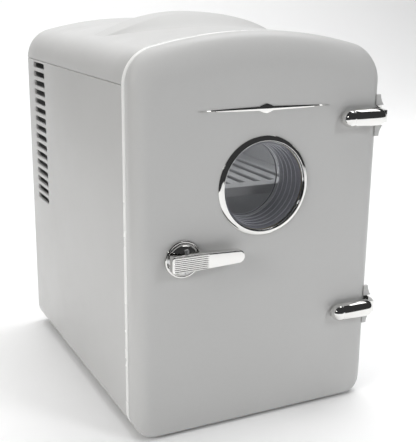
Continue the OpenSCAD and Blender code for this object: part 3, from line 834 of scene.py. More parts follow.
def grip_section(x):
    """One slice of the handle from front to back."""
    top = swell_z(x, LIP_BACK)
    low = min(grip_arc(x), top) - GRIP_THICK
    foot = min(roof_z(x) - 4.0, low - 4.0)
    loop = []
    for k in range(SLOPE_STEPS + 1):
        y = toe_y(x) + (LIP_BACK - 2.6 - toe_y(x)) * k / SLOPE_STEPS
        loop.append((x, y, swell_z(x, y)))
    loop += [(x, y, z) for y, z in arc((LIP_BACK - 2.6, top - 2.6), 2.6, 75, 0, 6)]
    loop += [(x, y, z) for y, z in arc((LIP_BACK - 2, low + 2), 2, 0, -90, 5)]
    loop += [(x, y, z) for y, z in arc((max(LIP_FRONT, toe_y(x) + 4.0) + 3, low - 3), 3, 90, 180, 5)]
    return loop + [(x, max(LIP_FRONT, toe_y(x) + 4.0), foot), (x, toe_y(x), roof_z(x) - 1.2)]


handle = Sketch()
handle.loft([grip_section(-GRIP_REACH + 2 * GRIP_REACH * k / SECTIONS) for k in range(SECTIONS + 1)])
grip = draw("carry_handle_lip", handle, 50)
register(grip, body_grey, "body_grey", "cabinet", "carry_handle")
print("handle crest", round(swell_z(0, CREST), 1), "and its foot", round(swell_z(0, TOE) - roof_z(0), 2))

# %% [markdown]
# ## The white front frame
# A thin white frame closes the cabinet's front. Only its edge shows while the door is
# shut, as a bright line all round, and its opening shows when the door is open.

# %% Front frame
OPENING = (0.0, 143.0, 70.0, 103.0)


def opening_loop(grow, r=5.0):
    x, z, half_w, half_h = OPENING
    return rounded(x, z, half_w + grow, half_h + grow, r + grow)


def front_frame_sketch():
    sketch = Sketch()
    edge = [(TRIM_FRONT, 0.6), (TRIM_FRONT + 0.2, 0.2), (TRIM_FRONT + 0.6, 0)]
    edge += [(-0.6, 0), (-0.2, 0.2), (0, 0.6)]
    around = [sketch.ring(upright(cabinet_line(inset), y)) for y, inset in edge]
    mouth = [sketch.ring(upright(opening_loop(grow), y))
             for y, grow in ((0, 0), (TRIM_FRONT + 1.2, 0), (TRIM_FRONT + 0.35, 0.35), (TRIM_FRONT, 1.2))]
    sketch.stack(around)
    sketch.stack(mouth)
    sketch.sheet(around[0], mouth[-1])
    sketch.sheet(around[-1], mouth[0])
    return sketch


trim = draw("white_front_frame", front_frame_sketch(), 40)
register(trim, trim_white, "white_plastic", "cabinet", "front_frame")

# %% [markdown]
# ## The white liner
# The cooled space is one vacuum-formed tub: straight walls that turn into the back with a
# generous radius, and two ledges that carry the shelf. The tub is drawn from its front
# flange inwards as one skin, and the wall is added behind it.

# %% Liner tub
CAVE_DEPTH = limits("liner")[4] - 2
COOL_Z = 190.0
LEDGE_Z = 165.0
BACK_RADIUS = 8.0


def liner_sketch():
    sketch = Sketch()
    flange = sketch.ring(upright(cabinet_line(WALL + 0.4), 0.1))
    rings = [sketch.ring(upright(opening_loop(0), y)) for y in (0.1, CAVE_DEPTH - BACK_RADIUS)]
    for k in range(1, 6):
        a = math.radians(90 * k / 5)
        shrink = -BACK_RADIUS * (1 - math.cos(a))
        depth = CAVE_DEPTH - BACK_RADIUS * (1 - math.sin(a))
        rings.append(sketch.ring(upright(opening_loop(shrink), depth)))
    window = sketch.ring(upright(rounded(0, COOL_Z, 21, 21, 3), CAVE_DEPTH))
    sketch.sheet(flange, rings[0])
    sketch.stack(rings)
    sketch.sheet(rings[-1], window)
    return sketch


def ledge(side):
    """One shelf ledge: a long rib with a rounded section that dies into the wall."""
    sketch = Sketch()
    wall, tip = side * (OPENING[2] + 0.3), side * (OPENING[2] - 4)
    top, low = LEDGE_Z + 2.95, LEDGE_Z
    sections = []
    for y, reach in ((7, 0.2), (9, 0.8), (12, 1), (134, 1), (137, 0.8), (139, 0.2)):
        edge = wall + (tip - wall) * reach
        loop = [(wall, top), (edge + side * 0.8, top), (edge + side * 0.2, top - 0.3), (edge, top - 0.9),
                (edge, low + 0.9), (edge + side * 0.3, low + 0.3), (edge + side * 0.9, low),
                (wall, low - 1.4)]
        sections.append([(x, y, z) for x, z in loop])
    sketch.loft(sections)
    return draw(f"shelf_ledge_{'right' if side > 0 else 'left'}", sketch, 40)


mesh = liner_sketch()
liner = draw("white_liner_tub", mesh, 40)
modifier = liner.modifiers.new("wall", "SOLIDIFY")
modifier.thickness = 1.9 * MM
modifier.offset = -1 if liner.data.polygons[0].normal.y < 0 else 1
settle(liner)
shade(liner.data, 40)
register(liner, liner_white, "white_plastic", "cabinet", "liner")
for side in (-1, 1):
    register(ledge(side), liner_white, "white_plastic", "cabinet")

# %% [markdown]
# ## The door shell
# The door is the piece that everyone looks at. Its front is flat, and its edges roll back:
# a tall soft roll under the crown, a short roll down the sides, and a crisp edge at the
# foot. Each roll is a quarter of an ellipse, so the shell is a stack of outlines between
# the door's rim and the edge of the flat front. The roll's width and depth blend from the
# sides to the crown round the shoulders, which gives the corner its double curve.

# %% Door outlines
SIDE_ROLL = (11.5, 9.0)
CROWN_ROLL = (27.0, 13.6)
FOOT_ROLL = (2.6, 2.6)
PORT_Z = (limits("porthole_ring")[2] + limits("porthole_ring")[5]) / 2
PORT_R = (limits("porthole_ring")[5] - limits("porthole_ring")[2]) / 2
PORT_IN = PORT_R - 4.6
HUB_X = (limits("latch_base")[0] + limits("latch_base")[3]) / 2
HUB_Z = (limits("latch_base")[2] + limits("latch_base")[5]) / 2
ROLL_STEPS = 14

rim_line = cabinet_line()
flat_line = arched(HALF - SIDE_ROLL[0], CROWN - CROWN_ROLL[0], FOOT + FOOT_ROLL[0],
                   ROOF_R - CROWN_ROLL[0], 19, 14)


def roll_depth(index):
    """How deep the roll is where the outline faces that way."""
    before, after = rim_line[index - 1], rim_line[(index + 1) % len(rim_line)]
    run = Vector((after[0] - before[0], after[1] - before[1])).normalized()
    faces_up = -run.x
    if faces_up >= 0:
        return SIDE_ROLL[1] + (CROWN_ROLL[1] - SIDE_ROLL[1]) * soft_step(faces_up)
    return SIDE_ROLL[1] + (FOOT_ROLL[1] - SIDE_ROLL[1]) * soft_step(-faces_up)


depths = [roll_depth(i) for i in range(len(rim_line))]
print("door roll from", round(min(depths), 1), "to", round(max(depths), 1), "deep")

# %% Build the door shell
def door_ring(angle):
    """The door's outline at one angle round its roll, 0 at the rim and 90 at the flat front."""
    a = math.radians(angle)
    across, along = 1 - math.cos(a), math.sin(a)
    return [(px + (qx - px) * across, DOOR_FRONT + d * (1 - along), pz + (qz - pz) * across)
            for (px, pz), (qx, qz), d in zip(rim_line, flat_line, depths)]


door = Sketch()
rings = [door.ring(upright(cabinet_line(inset), y))
         for y, inset in ((DOOR_BACK, 0.5), (DOOR_BACK - 0.15, 0.15), (DOOR_BACK - 0.5, 0))]
rings += [door.ring(door_ring(90 * k / ROLL_STEPS)) for k in range(ROLL_STEPS + 1)]
inside = arched(HALF - SIDE_ROLL[0] - 2, CROWN - CROWN_ROLL[0] - 2, FOOT + FOOT_ROLL[0] + 2,
                ROOF_R - CROWN_ROLL[0] - 2, 17, 12)
rings.append(door.ring(upright(inside, DOOR_FRONT)))
door.stack(rings)
holes = [door.ring(upright(arc((x, z), r, 0, 360, 64)[:-1], DOOR_FRONT))
         for x, z, r in ((0, PORT_Z, PORT_IN + 1.2), (HUB_X, HUB_Z, 8.2), (HUB_X - 10.9, HUB_Z, 1.8))]
door.sheet(rings[-1], *holes)
door_shell = draw("door_shell_skin", door, 40, open_skin=True)
front_face = min(door_shell.data.polygons, key=lambda p: p.center.y)
print("front faces the viewer:", front_face.normal.y < 0)
walled(door_shell, 1.9, 40)

# %% [markdown]
# The hinges need room in the door's right edge: a round pocket for the bracket's ears and
# a square one for the arm. Pockets like these are plain cuts, so booleans do them.

# %% Cut the hinge pockets
PIN_X, PIN_Y = HALF + 1.5, -12.0
EAR_R = 4.8
ARM_LIMITS = [limits(f"{name}_hinge_arm") for name in ("lower", "upper")]
HINGES = [(box[2] + box[5]) / 2 for box in ARM_LIMITS]


def pocket_cutters():
    rounds, squares = Sketch(), Sketch()
    for z in HINGES:
        ring = arc((PIN_X, PIN_Y), EAR_R, 0, 360, 48)[:-1]
        rounds.loft([[(x, y, z + d) for x, y in ring] for d in (-15, 15)])
        box = [(89.2, -40), (110, -40), (110, 4), (89.2, 4)]
        squares.loft([[(x, y, z + d) for x, y in box] for d in (-4.7, 4.7)])
    return draw("round_cutter", rounds), draw("square_cutter", squares)


for cutter in pocket_cutters():
    cut = door_shell.modifiers.new("pocket", "BOOLEAN")
    cut.object = cutter
    cut.operation = "DIFFERENCE"
    cut.solver = "EXACT"
    settle(door_shell)
    bpy.data.objects.remove(cutter)
shade(door_shell.data, 32)
register(door_shell, body_grey, "body_grey", "door", "door_shell")

# %% [markdown]
# ## The door's white inner side
# Behind the grey shell is a formed white panel: a flange against the seal and a raised
# plug that fills the mouth of the cooled space. It is drawn like the liner, from the
# flange up over rounded shoulders to the face, with the porthole left open.

# %% Door liner
PLUG = (limits("door_liner")[4], 66.0, 98.5)


def door_liner_sketch():
    sketch = Sketch()
    top, half_w, half_h = PLUG
    middle = OPENING[1]

    def loop(grow, y, r=9.0):
        return sketch.ring(upright(rounded(0, middle, half_w + grow, half_h + grow, r + grow), y))

    def flange(inset, y):
        return sketch.ring(upright(cabinet_line(inset, 1.0), y))

    back = [flange(3.2, -9.4), flange(3.0, -9.2), flange(3.0, -7.6), flange(3.2, -7.4)]
    sketch.stack(back)
    foot = [loop(4.0, -7.4), loop(2.2, -7.0), loop(1.0, -6.0), loop(0.6, -4.4)]
    wall = [loop(0.0, top - 4), loop(-0.4, top - 2), loop(-1.6, top - 0.6), loop(-3.4, top)]
    panel = [loop(-9.0, top), loop(-9.8, top - 0.35), loop(-10.6, top - 0.8), loop(-11.8, top - 1)]
    sketch.stack(foot + wall + panel)
    hole = sketch.ring(upright(arc((0, PORT_Z), PORT_IN + 0.6, 0, 360, 64)[:-1], top - 1))
    lip = sketch.ring(upright(arc((0, PORT_Z), PORT_IN + 0.6, 0, 360, 64)[:-1], -9.4))
    sketch.sheet(back[-1], foot[0])
    sketch.sheet(panel[-1], hole)
    sketch.stack([hole, lip])
    sketch.sheet(back[0], lip)
    return sketch


def plunger_hole():
    """A short rod that bores the plunger's hole through the flange."""
    bore = Sketch()
    plunger = limits("latch_plunger")
    across = (plunger[0] + plunger[3]) / 2
    bore.loft([upright(arc((across, HUB_Z), 1.8, 0, 360, 32)[:-1], y) for y in (-12, -5.5)])
    return draw("plunger_hole_cutter", bore, 40)


door_liner = draw("door_liner_panel", door_liner_sketch(), 40)
for cutter in (*pocket_cutters(), plunger_hole()):
    cut = door_liner.modifiers.new("pocket", "BOOLEAN")
    cut.object = cutter
    cut.solver = "EXACT"
    settle(door_liner)
    bpy.data.objects.remove(cutter)
shade(door_liner.data, 40)
register(door_liner, liner_white, "white_plastic", "door", "door_liner")

# %% [markdown]
# ## Turned parts
# The chrome ring, the stepped clear sleeve behind it, the latch's base and the small seals
# are all profiles turned round an axis that points into the door. The sleeve's steps carry
# the bright concentric lines that show inside the porthole, so its profile is made by a
# rule: each step goes back by the same depth and in by the same amount. The bright lines
# are painted highlights: a thin near-white ring sits at each step in place of the light it catches.

# %% Lathe
def turned(name, profile, x, z, angle=35, steps=128):
    """A closed profile of (radius, depth) turned round a front-to-back axis."""
    sketch = Sketch()
    turns = [2 * math.pi * k / steps for k in range(steps)]
    rings = [sketch.ring([(x + r * math.cos(t), y, z + r * math.sin(t)) for t in turns])
             for r, y in profile]
    sketch.stack(rings + [rings[0]])
    return draw(name, sketch, angle)


def solid_turned(name, profile, x, z, angle=35, steps=96):
    """A profile that starts and ends near its axis, closed with small flat caps."""
    sketch = Sketch()
    turns = [2 * math.pi * k / steps for k in range(steps)]
    sketch.loft([[(x + r * math.cos(t), y, z + r * math.sin(t)) for t in turns] for r, y in profile])
    return draw(name, sketch, angle)


RING_FRONT = limits("porthole_ring")[1]
ring_face = DOOR_FRONT - 0.02
ring_high = ring_face - RING_FRONT
profile = [(PORT_R - 0.1, ring_face), (PORT_R, ring_face - 0.1)]
for k in range(15):
    t = k / 14
    bulge = 0.32 * math.sin(math.pi * t)
    profile.append((PORT_R - 3.1 * t + bulge * 0.55, ring_face - 0.3 - (ring_high - 0.45) * t - bulge * 0.83))
profile += arc((PORT_IN + 1.15, RING_FRONT + 0.5), (0.4, 0.5), -60, -180, 8)
profile += [(PORT_IN + 0.45, ring_face - 0.6), (PORT_IN + 0.15, ring_face - 0.35)]
profile += [(PORT_IN + 0.15, ring_face)]
ring = turned("porthole_chrome_ring", profile, 0, PORT_Z, 50)
register(ring, chrome, "chrome", "door", "porthole_ring")

# %% Porthole glazing
LENS = limits("porthole_lens")
lens_r = (LENS[3] - LENS[0]) / 2
profile = [(0.2, LENS[1]), (lens_r - 0.3, LENS[1]), (lens_r, LENS[1] + 0.3), (lens_r, LENS[4] - 0.3),
           (lens_r - 0.3, LENS[4]), (0.2, LENS[4])]
lens = solid_turned("porthole_lens_disc", profile, 0, PORT_Z)
register(lens, clear, "clear_plastic", "door", "porthole_lens")
PANE = limits("porthole_pane")
pane_r = (PANE[3] - PANE[0]) / 2
profile = [(0.2, PANE[1]), (pane_r - 0.3, PANE[1]), (pane_r, PANE[1] + 0.3), (pane_r, PANE[4] - 0.3),
           (pane_r - 0.3, PANE[4]), (0.2, PANE[4])]
# The rear pane's dark veil is painted shade that dims the view inside the cabinet.
pane = solid_turned("porthole_pane_disc", profile, 0, PORT_Z)
register(pane, pane_shade_film, "clear_plastic", "door", "porthole_pane")

# %% Stepped sleeve
TUBE_FRONT, TUBE_BACK = limits("porthole_tube")[1], limits("porthole_tube")[4]
TUBE_STEPS = 6
STEP_IN = 0.45
ROUND = 0.3
step_depth = (TUBE_BACK - TUBE_FRONT) / TUBE_STEPS
profile = [(PORT_IN, TUBE_BACK), (PORT_IN, TUBE_FRONT), (PORT_IN - 1.0, TUBE_FRONT)]
bore = PORT_IN - 1.4
for k in range(TUBE_STEPS):
    step_end = TUBE_FRONT + (k + 1) * step_depth
    start_y = TUBE_FRONT + k * step_depth
    profile.append((bore, start_y + ROUND))
    profile.append((bore, step_end - ROUND))
    if k < TUBE_STEPS - 1:
        profile.append((bore - ROUND * 0.4, step_end - ROUND * 0.3))
        profile.append((bore - STEP_IN + ROUND * 0.4, step_end + ROUND * 0.3 - 0.2))
        bore -= STEP_IN
profile.append((bore, TUBE_BACK))
sleeve = turned("porthole_stepped_sleeve", profile, 0, PORT_Z, 25)
register(sleeve, veiled, "clear_plastic", "door", "porthole_tube")
# Each ring below is a painted highlight: a thin near-white ring at a step, in place of the light that step
# catches.
for k in range(TUBE_STEPS):
    highlight_ring_r = PORT_IN - 1.5 - k * STEP_IN
    profile = arc((highlight_ring_r, TUBE_FRONT + (k + 0.9) * step_depth), (0.22, 0.22), 0, 360, 8)[:-1]
    register(turned(f"sleeve_step_line_{k + 1}", profile, 0, PORT_Z, 60), step_highlight_film, "clear_plastic", "door")
SEAL = limits("porthole_seal")
seal_r = (SEAL[3] - SEAL[0]) / 2
profile = arc((seal_r - 1.2, (SEAL[1] + SEAL[4]) / 2), (1.2, 0.7), 0, 360, 20)[:-1]
register(turned("porthole_rear_seal", profile, 0, PORT_Z), rubber, "rubber", "door", "porthole_seal")

# %% [markdown]
# ## The latch
# A round base sits on the door, a chrome dome stands on it, and the lever passes through
# a level slot in the dome. The base and the dome are turned; the dome is then split into
# an upper and a lower cap where the slot goes through.

# %% Latch base and dome
BASE = limits("latch_base")
BASE_R = (BASE[3] - BASE[0]) / 2
profile = [(0.3, -11), (7.9, -11), (8.0, -11.2), (8.0, DOOR_FRONT - 0.02), (BASE_R - 0.15, DOOR_FRONT - 0.02),
           (BASE_R, DOOR_FRONT - 0.2)]
profile += arc((BASE_R - 1.3, DOOR_FRONT - 0.9), (1.3, 1.3), 0, -75, 8)
profile += [(BASE_R - 1.9, BASE[1] + 0.25), (BASE_R - 2.3, BASE[1] + 0.6), (0.3, BASE[1] + 0.6)]
base = solid_turned("latch_base_disc", profile, HUB_X, HUB_Z)
register(base, chrome, "chrome", "door", "latch_base")
DOME = limits("latch_dome")
SLOT = 6.4
DOME_R = 11.6
dome_foot = BASE[1] + 0.55


def dome_cap(side):
    """One cap of the dome, above or below the lever's slot."""
    arch = arc((0, dome_foot), (DOME_R, dome_foot - DOME[1]), 0, 86, 24)
    profile = [(0.3, dome_foot)] + [(r, 2 * dome_foot - y) for r, y in arch]
    cap = solid_turned(f"latch_dome_{'upper' if side > 0 else 'lower'}", profile, HUB_X, HUB_Z, 50)
    bm = bmesh.new()
    bm.from_mesh(cap.data)
    geometry = list(bm.verts) + list(bm.edges) + list(bm.faces)
    cut = bmesh.ops.bisect_plane(bm, geom=geometry, plane_co=at(HUB_X, 0, HUB_Z + side * SLOT),
                                 plane_no=(0, 0, -side), clear_outer=True)
    edges = [e for e in cut["geom_cut"] if isinstance(e, bmesh.types.BMEdge)]
    bmesh.ops.contextual_create(bm, geom=edges)
    bmesh.ops.recalc_face_normals(bm, faces=bm.faces)
    bm.to_mesh(cap.data)
    bm.free()
    return soft_edges(cap, 0.35, 3, 40)


upper, lower = dome_cap(1), dome_cap(-1)
register(upper, chrome, "chrome", "door", "latch_dome")
register(lower, chrome, "chrome", "door")

# %% [markdown]
# The lever is a flat chrome bar: square where it is gripped by the dome, tapering to a
# round tip, with a face that is very slightly crowned. Fine ribs run along its first half.
# Their shape is always the same, so one rib is drawn and a Geometry Nodes tree repeats it.

# %% A tree that repeats a piece
def copies_tree():
    """Geometry Nodes: copies in a row, each one step and one turn further than the last."""
    tree = bpy.data.node_groups.new("repeated_copies", "GeometryNodeTree")
    for label, kind in (("Geometry", "NodeSocketGeometry"), ("Count", "NodeSocketInt"),
                        ("Step", "NodeSocketVector"), ("Turn", "NodeSocketVector"),
                        ("Centre", "NodeSocketVector"), ("Finish", "NodeSocketMaterial")):
        tree.interface.new_socket(label, in_out="INPUT", socket_type=kind)
    tree.interface.new_socket("Geometry", in_out="OUTPUT", socket_type="NodeSocketGeometry")
    nodes, join = tree.nodes, tree.links.new
    given, out = nodes.new("NodeGroupInput"), nodes.new("NodeGroupOutput")
    row = nodes.new("GeometryNodeMeshLine")
    join(given.outputs["Count"], row.inputs["Count"])
    row.inputs["Offset"].default_value = (0, 0, 0)
    spots = nodes.new("GeometryNodeInstanceOnPoints")
    join(row.outputs["Mesh"], spots.inputs["Points"])
    join(given.outputs["Geometry"], spots.inputs["Instance"])
    number = nodes.new("GeometryNodeInputIndex").outputs["Index"]
    amounts = []
    for label in ("Step", "Turn"):
        scaled = nodes.new("ShaderNodeVectorMath")
        scaled.operation = "SCALE"
        join(given.outputs[label], scaled.inputs[0])
        join(number, scaled.inputs["Scale"])
        amounts.append(scaled.outputs["Vector"])
    moved = nodes.new("GeometryNodeTranslateInstances")
    join(spots.outputs["Instances"], moved.inputs["Instances"])
    join(amounts[0], moved.inputs["Translation"])
    turned_round = nodes.new("GeometryNodeRotateInstances")
    turned_round.inputs["Local Space"].default_value = False
    join(moved.outputs["Instances"], turned_round.inputs["Instances"])
    join(amounts[1], turned_round.inputs["Rotation"])
    join(given.outputs["Centre"], turned_round.inputs["Pivot Point"])
    real = nodes.new("GeometryNodeRealizeInstances")
    join(turned_round.outputs["Instances"], real.inputs["Geometry"])
    dressed = nodes.new("GeometryNodeSetMaterial")
    join(real.outputs["Geometry"], dressed.inputs["Geometry"])
    join(given.outputs["Finish"], dressed.inputs["Material"])
    join(dressed.outputs["Geometry"], out.inputs["Geometry"])
    return tree


def grown(obj, tree, **values):
    """Runs a tree on an object, with its inputs set by their identifiers."""
    modifier = obj.modifiers.new("grow", "NODES")
    modifier.node_group = tree
    for item in tree.interface.items_tree:
        label = item.name.replace(" ", "_")
        if item.in_out == "INPUT" and label in values:
            modifier[item.identifier] = values[label]
    return settle(obj)


copies = copies_tree()
print("repeated_copies:", len(copies.nodes), "nodes")

# %% Lever and ribs
LEVER = limits("latch_lever")
LEVER_BACK, LEVER_FRONT = LEVER[4], LEVER[1]
LEVER_LEFT, LEVER_RIGHT = LEVER[0], LEVER[3]
TIP_R = 4.7
RIB_END = HUB_X + 15
RIBS = 8
RIB_PITCH = 1.38


def lever_line(inset):
    """The lever's outline seen from the front."""
    left, half = LEVER_LEFT + inset, 6.0 - inset
    r = 1.6 - min(inset, 1.2)
    tip = TIP_R - inset
    points = arc((left + r, HUB_Z + half - r), r, 180, 90, 5)
    points += [(HUB_X + 6, HUB_Z + half)] + arc((LEVER_RIGHT - TIP_R, HUB_Z), tip, 88, -88, 24)
    points += [(HUB_X + 6, HUB_Z - half)] + arc((left + r, HUB_Z - half + r), r, 270, 180, 5)
    return points


lever = Sketch()
levels = [(LEVER_BACK, 0.5), (LEVER_BACK - 0.15, 0.15), (LEVER_BACK - 0.5, 0), (LEVER_FRONT + 1.1, 0),
          (LEVER_FRONT + 0.75, 0.12), (LEVER_FRONT + 0.5, 0.4), (LEVER_FRONT + 0.36, 0.9)]
lever.loft([upright(lever_line(inset), y) for y, inset in levels])
bar = draw("latch_lever_bar", lever, 50)
rib = Sketch()
rib_left = LEVER_LEFT + 1.2
sections = [(rib_left, 0.15), (rib_left + 0.3, 0.8), (rib_left + 0.8, 1), (RIB_END - 1.6, 1), (RIB_END, 0.1)]
low_z = HUB_Z - RIB_PITCH * (RIBS - 1) / 2
rib.loft([[(x, LEVER_FRONT + 0.42 - 0.42 * math.sin(a) * size, low_z + 0.5 * math.cos(a) * size)
           for a in [math.radians(-20 + 220 * k / 10) for k in range(11)]] for x, size in sections])
rib_step = (0, 0, RIB_PITCH * MM)
ribs = grown(draw("latch_lever_ribs", rib, 60), copies, Count=RIBS, Step=rib_step, Finish=chrome)
register(bar, chrome, "chrome", "lever", "latch_lever")
register(ribs, chrome, "chrome", "lever")

# %% [markdown]
# The short end of the lever pushes a white plunger through the door. A steel spring round
# the plunger sends it back, so the spring is a real coil: a helix swept with a round wire.

# %% Plunger and spring
PLUNGER = limits("latch_plunger")
plunger_x = (PLUNGER[0] + PLUNGER[3]) / 2
profile = [(0.2, PLUNGER[1]), (0.9, PLUNGER[1] + 0.1), (1.4, PLUNGER[1] + 0.5), (1.5, PLUNGER[1] + 0.9),
           (1.5, -17.6), (2.55, -17.6), (2.7, -17.45), (2.7, -16.75), (2.55, -16.6), (1.5, -16.6),
           (1.5, PLUNGER[4] - 0.4), (1.2, PLUNGER[4]), (0.2, PLUNGER[4])]
plunger = solid_turned("latch_plunger_rod", profile, plunger_x, HUB_Z, 40, 40)
register(plunger, liner_white, "white_plastic", "plunger", "latch_plunger")
SPRING = limits("latch_spring")
COILS, COIL_STEPS, WIRE_R = 4, 28, 0.3
coil = Sketch()
coil_sections = []
for k in range(COILS * COIL_STEPS + 1):
    a = 2 * math.pi * k / COIL_STEPS
    y = SPRING[1] + WIRE_R + (SPRING[4] - SPRING[1] - 2 * WIRE_R) * k / (COILS * COIL_STEPS)
    around = arc((2.5, 0), WIRE_R, 0, 360, 8)[:-1]
    coil_sections.append([(plunger_x + r * math.cos(a), y + d, HUB_Z + r * math.sin(a)) for r, d in around])
coil.loft(coil_sections)
register(draw("latch_coil_spring", coil, 60), steel, "steel", "door", "latch_spring")

# %% [markdown]
# ## The hinges
# Each hinge shows a fat chrome barrel with a round end on the door's face. An arm goes
# from the barrel round the door's edge to a pin, and a flared bracket on the cabinet's
# side holds that pin. The barrel is turned about a level axis, with a fine groove near
# its ball end.

# %% Hinge barrel and arm
BARREL_R = 6.6
BARREL_Y = limits("upper_hinge_arm")[1] + BARREL_R
BARREL_LEFT = limits("upper_hinge_arm")[0] + BARREL_R
BARREL_RIGHT = 91.0
ARM_LEFT, ARM_HALF = 89.5, 4.4


def barrel_profile():
    """Distance along X and radius, from the ball end to the outer end."""
    ball = arc((BARREL_LEFT, 0), BARREL_R, 178, 100, 16)
    outer = arc((BARREL_RIGHT, 0), BARREL_R, 80, 2, 16)
    groove = [(BARREL_LEFT + 0.8, BARREL_R), (BARREL_LEFT + 1.2, BARREL_R - 0.35),
              (BARREL_LEFT + 1.7, BARREL_R - 0.35), (BARREL_LEFT + 2.1, BARREL_R)]
    return ball + groove + [(BARREL_RIGHT - 2, BARREL_R)] + outer


def flat_front(points):
    """Keeps a point in front of the door's face, left of the arm."""
    return [(x, min(y, DOOR_FRONT - 0.03) if x < ARM_LEFT else y, z) for x, y, z in points]


def hinge_arm(label, z):
    sketch = Sketch()
    turns = [2 * math.pi * k / 64 for k in range(64)]
    sketch.loft([flat_front([(x, BARREL_Y + r * math.cos(t), z + r * math.sin(t)) for t in turns])
                 for x, r in barrel_profile()])
    barrel = draw(f"{label}_hinge_barrel", sketch, 50)
    arm = Sketch()
    box = [(ARM_LEFT, BARREL_Y), (PIN_X + 0.6, BARREL_Y)]
    box += [(PIN_X + 8.6 + 8 * math.cos(a), BARREL_Y + 8 * math.sin(a))
            for a in [math.radians(176 - 36 * k / 6) for k in range(7)]]
    box += [(PIN_X + 2.4, PIN_Y - 3.2)]
    box += [(PIN_X + 4 * math.cos(a), PIN_Y + 4 * math.sin(a))
            for a in [math.radians(-53 + 233 * k / 24) for k in range(25)]]
    box += [(ARM_LEFT, PIN_Y)]
    arm.loft([[(x, y, z + d) for x, y in box] for d in (-ARM_HALF, ARM_HALF)])
    return barrel, soft_edges(draw(f"{label}_hinge_link", arm, 40), 0.5, 3, 40)


def hinge_fin(label, side, z):
    """A thin fin that hugs the door's rolled edge and runs out in a concave curve; it stands for chrome, and
    its door grey is a painted reflection of the pale paper that the chrome mirrors.
    """
    fin = Sketch()
    sections = []
    for k in range(13):
        t = k / 12
        reach, front = 98.2 + 3.0 * (1 - t) ** 2, -19.2
        loop = [(94.0, -16.2), (94.0, front)]
        loop += arc((reach - 1.2, front + 1.2), 1.2, -90, 0, 6) + [(reach, -16.6), (reach - 0.4, -16.2)]
        sections.append([(x, y, z + side * (7.6 + 7.7 * t)) for x, y in loop])
    fin.loft(sections)
    return draw(f"{label}_hinge_fin_{'up' if side > 0 else 'down'}", fin, 50)


for label, z in zip(("lower", "upper"), HINGES):
    for side in (-1, 1):
        # The fins get the door's grey: a painted reflection that stands in for chrome mirroring the pale
        # paper.
        register(hinge_fin(label, side, z), body_grey, "body_grey", "door")
    barrel, link_arm = hinge_arm(label, z)
    register(barrel, chrome, "chrome", "door", f"{label}_hinge_arm")
    register(link_arm, chrome, "chrome", "door")

# %% [markdown]
# ## Soft copies of the frame's parts
# Brackets, fan frames, sockets and the back panel have the right shape in the CAD model,
# but their edges are perfectly sharp, and no real moulding or casting is. Each is copied
# from the frame, its triangles are merged into flat faces, and its edges are rounded.

# %% Copy a CAD part with soft edges
FLAT_ANGLE = math.radians(1.2)


def softened(node, width, material, slot, body, segments=2, limit=35):
    """A copy of a CAD node with merged faces and rounded edges."""
    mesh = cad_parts[node].data.copy()
    mesh.materials.clear()
    bm = bmesh.new()
    bm.from_mesh(mesh)
    bmesh.ops.remove_doubles(bm, verts=bm.verts, dist=0.002 * MM)
    bmesh.ops.dissolve_limit(bm, angle_limit=FLAT_ANGLE, verts=bm.verts, edges=bm.edges)
    bm.to_mesh(mesh)
    bm.free()
    obj = soft_edges(link(f"{node}_soft", mesh), width, segments, limit)
    return register(obj, material, slot, body, node)


for node in ("upper_hinge_bracket", "lower_hinge_bracket"):
    softened(node, 0.5, chrome, "chrome", "cabinet", 3)
for node in ("upper_hinge_pin", "lower_hinge_pin"):
    softened(node, 0.3, steel, "steel", "cabinet")
softened("latch_pin", 0.3, steel, "steel", "door")
softened("rear_panel", 0.35, body_grey, "body_grey", "cabinet")
softened("shelf", 0.4, liner_white, "white_plastic", "cabinet")
softened("inner_grille", 0.4, liner_white, "white_plastic", "cabinet")
for node in ("inner_fan_frame", "rear_fan_frame", "ac_inlet", "dc_inlet", "switch_frame"):
    softened(node, 0.3, black_plastic, "black_plastic", "cabinet")
softened("switch_rocker", 0.3, switch_red, "switch_red", "rocker")
softened("board_components", 0.4, amber, "component_amber", "cabinet")
softened("door_bin", 0.4, clear, "clear_plastic", "door")

# %% [markdown]
# Parts that hide inside the walls keep their CAD shape. They only need a finish, so that a
# look through the slots or behind the door never meets a bare surface.

# %% Finish the hidden parts
HIDDEN = {"insulation": foam, "door_foam": foam, "bulkhead": liner_white, "transfer_block": aluminium,
          "peltier_module": ceramic, "power_board": board_green, "keeper_plates": steel,
          "door_magnets": magnet_grey}
for node, material in HIDDEN.items():
    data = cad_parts[node].data
    data.materials.clear()
    data.materials.append(material)
print("hidden parts dressed:", len(HIDDEN))

# %% [markdown]
# ## The magnetic seal
# A soft grey seal runs round the door's inner face. It is one section that follows a
# rounded rectangle, so a Geometry Nodes tree draws the path, rounds its corners and
# sweeps the section along it.

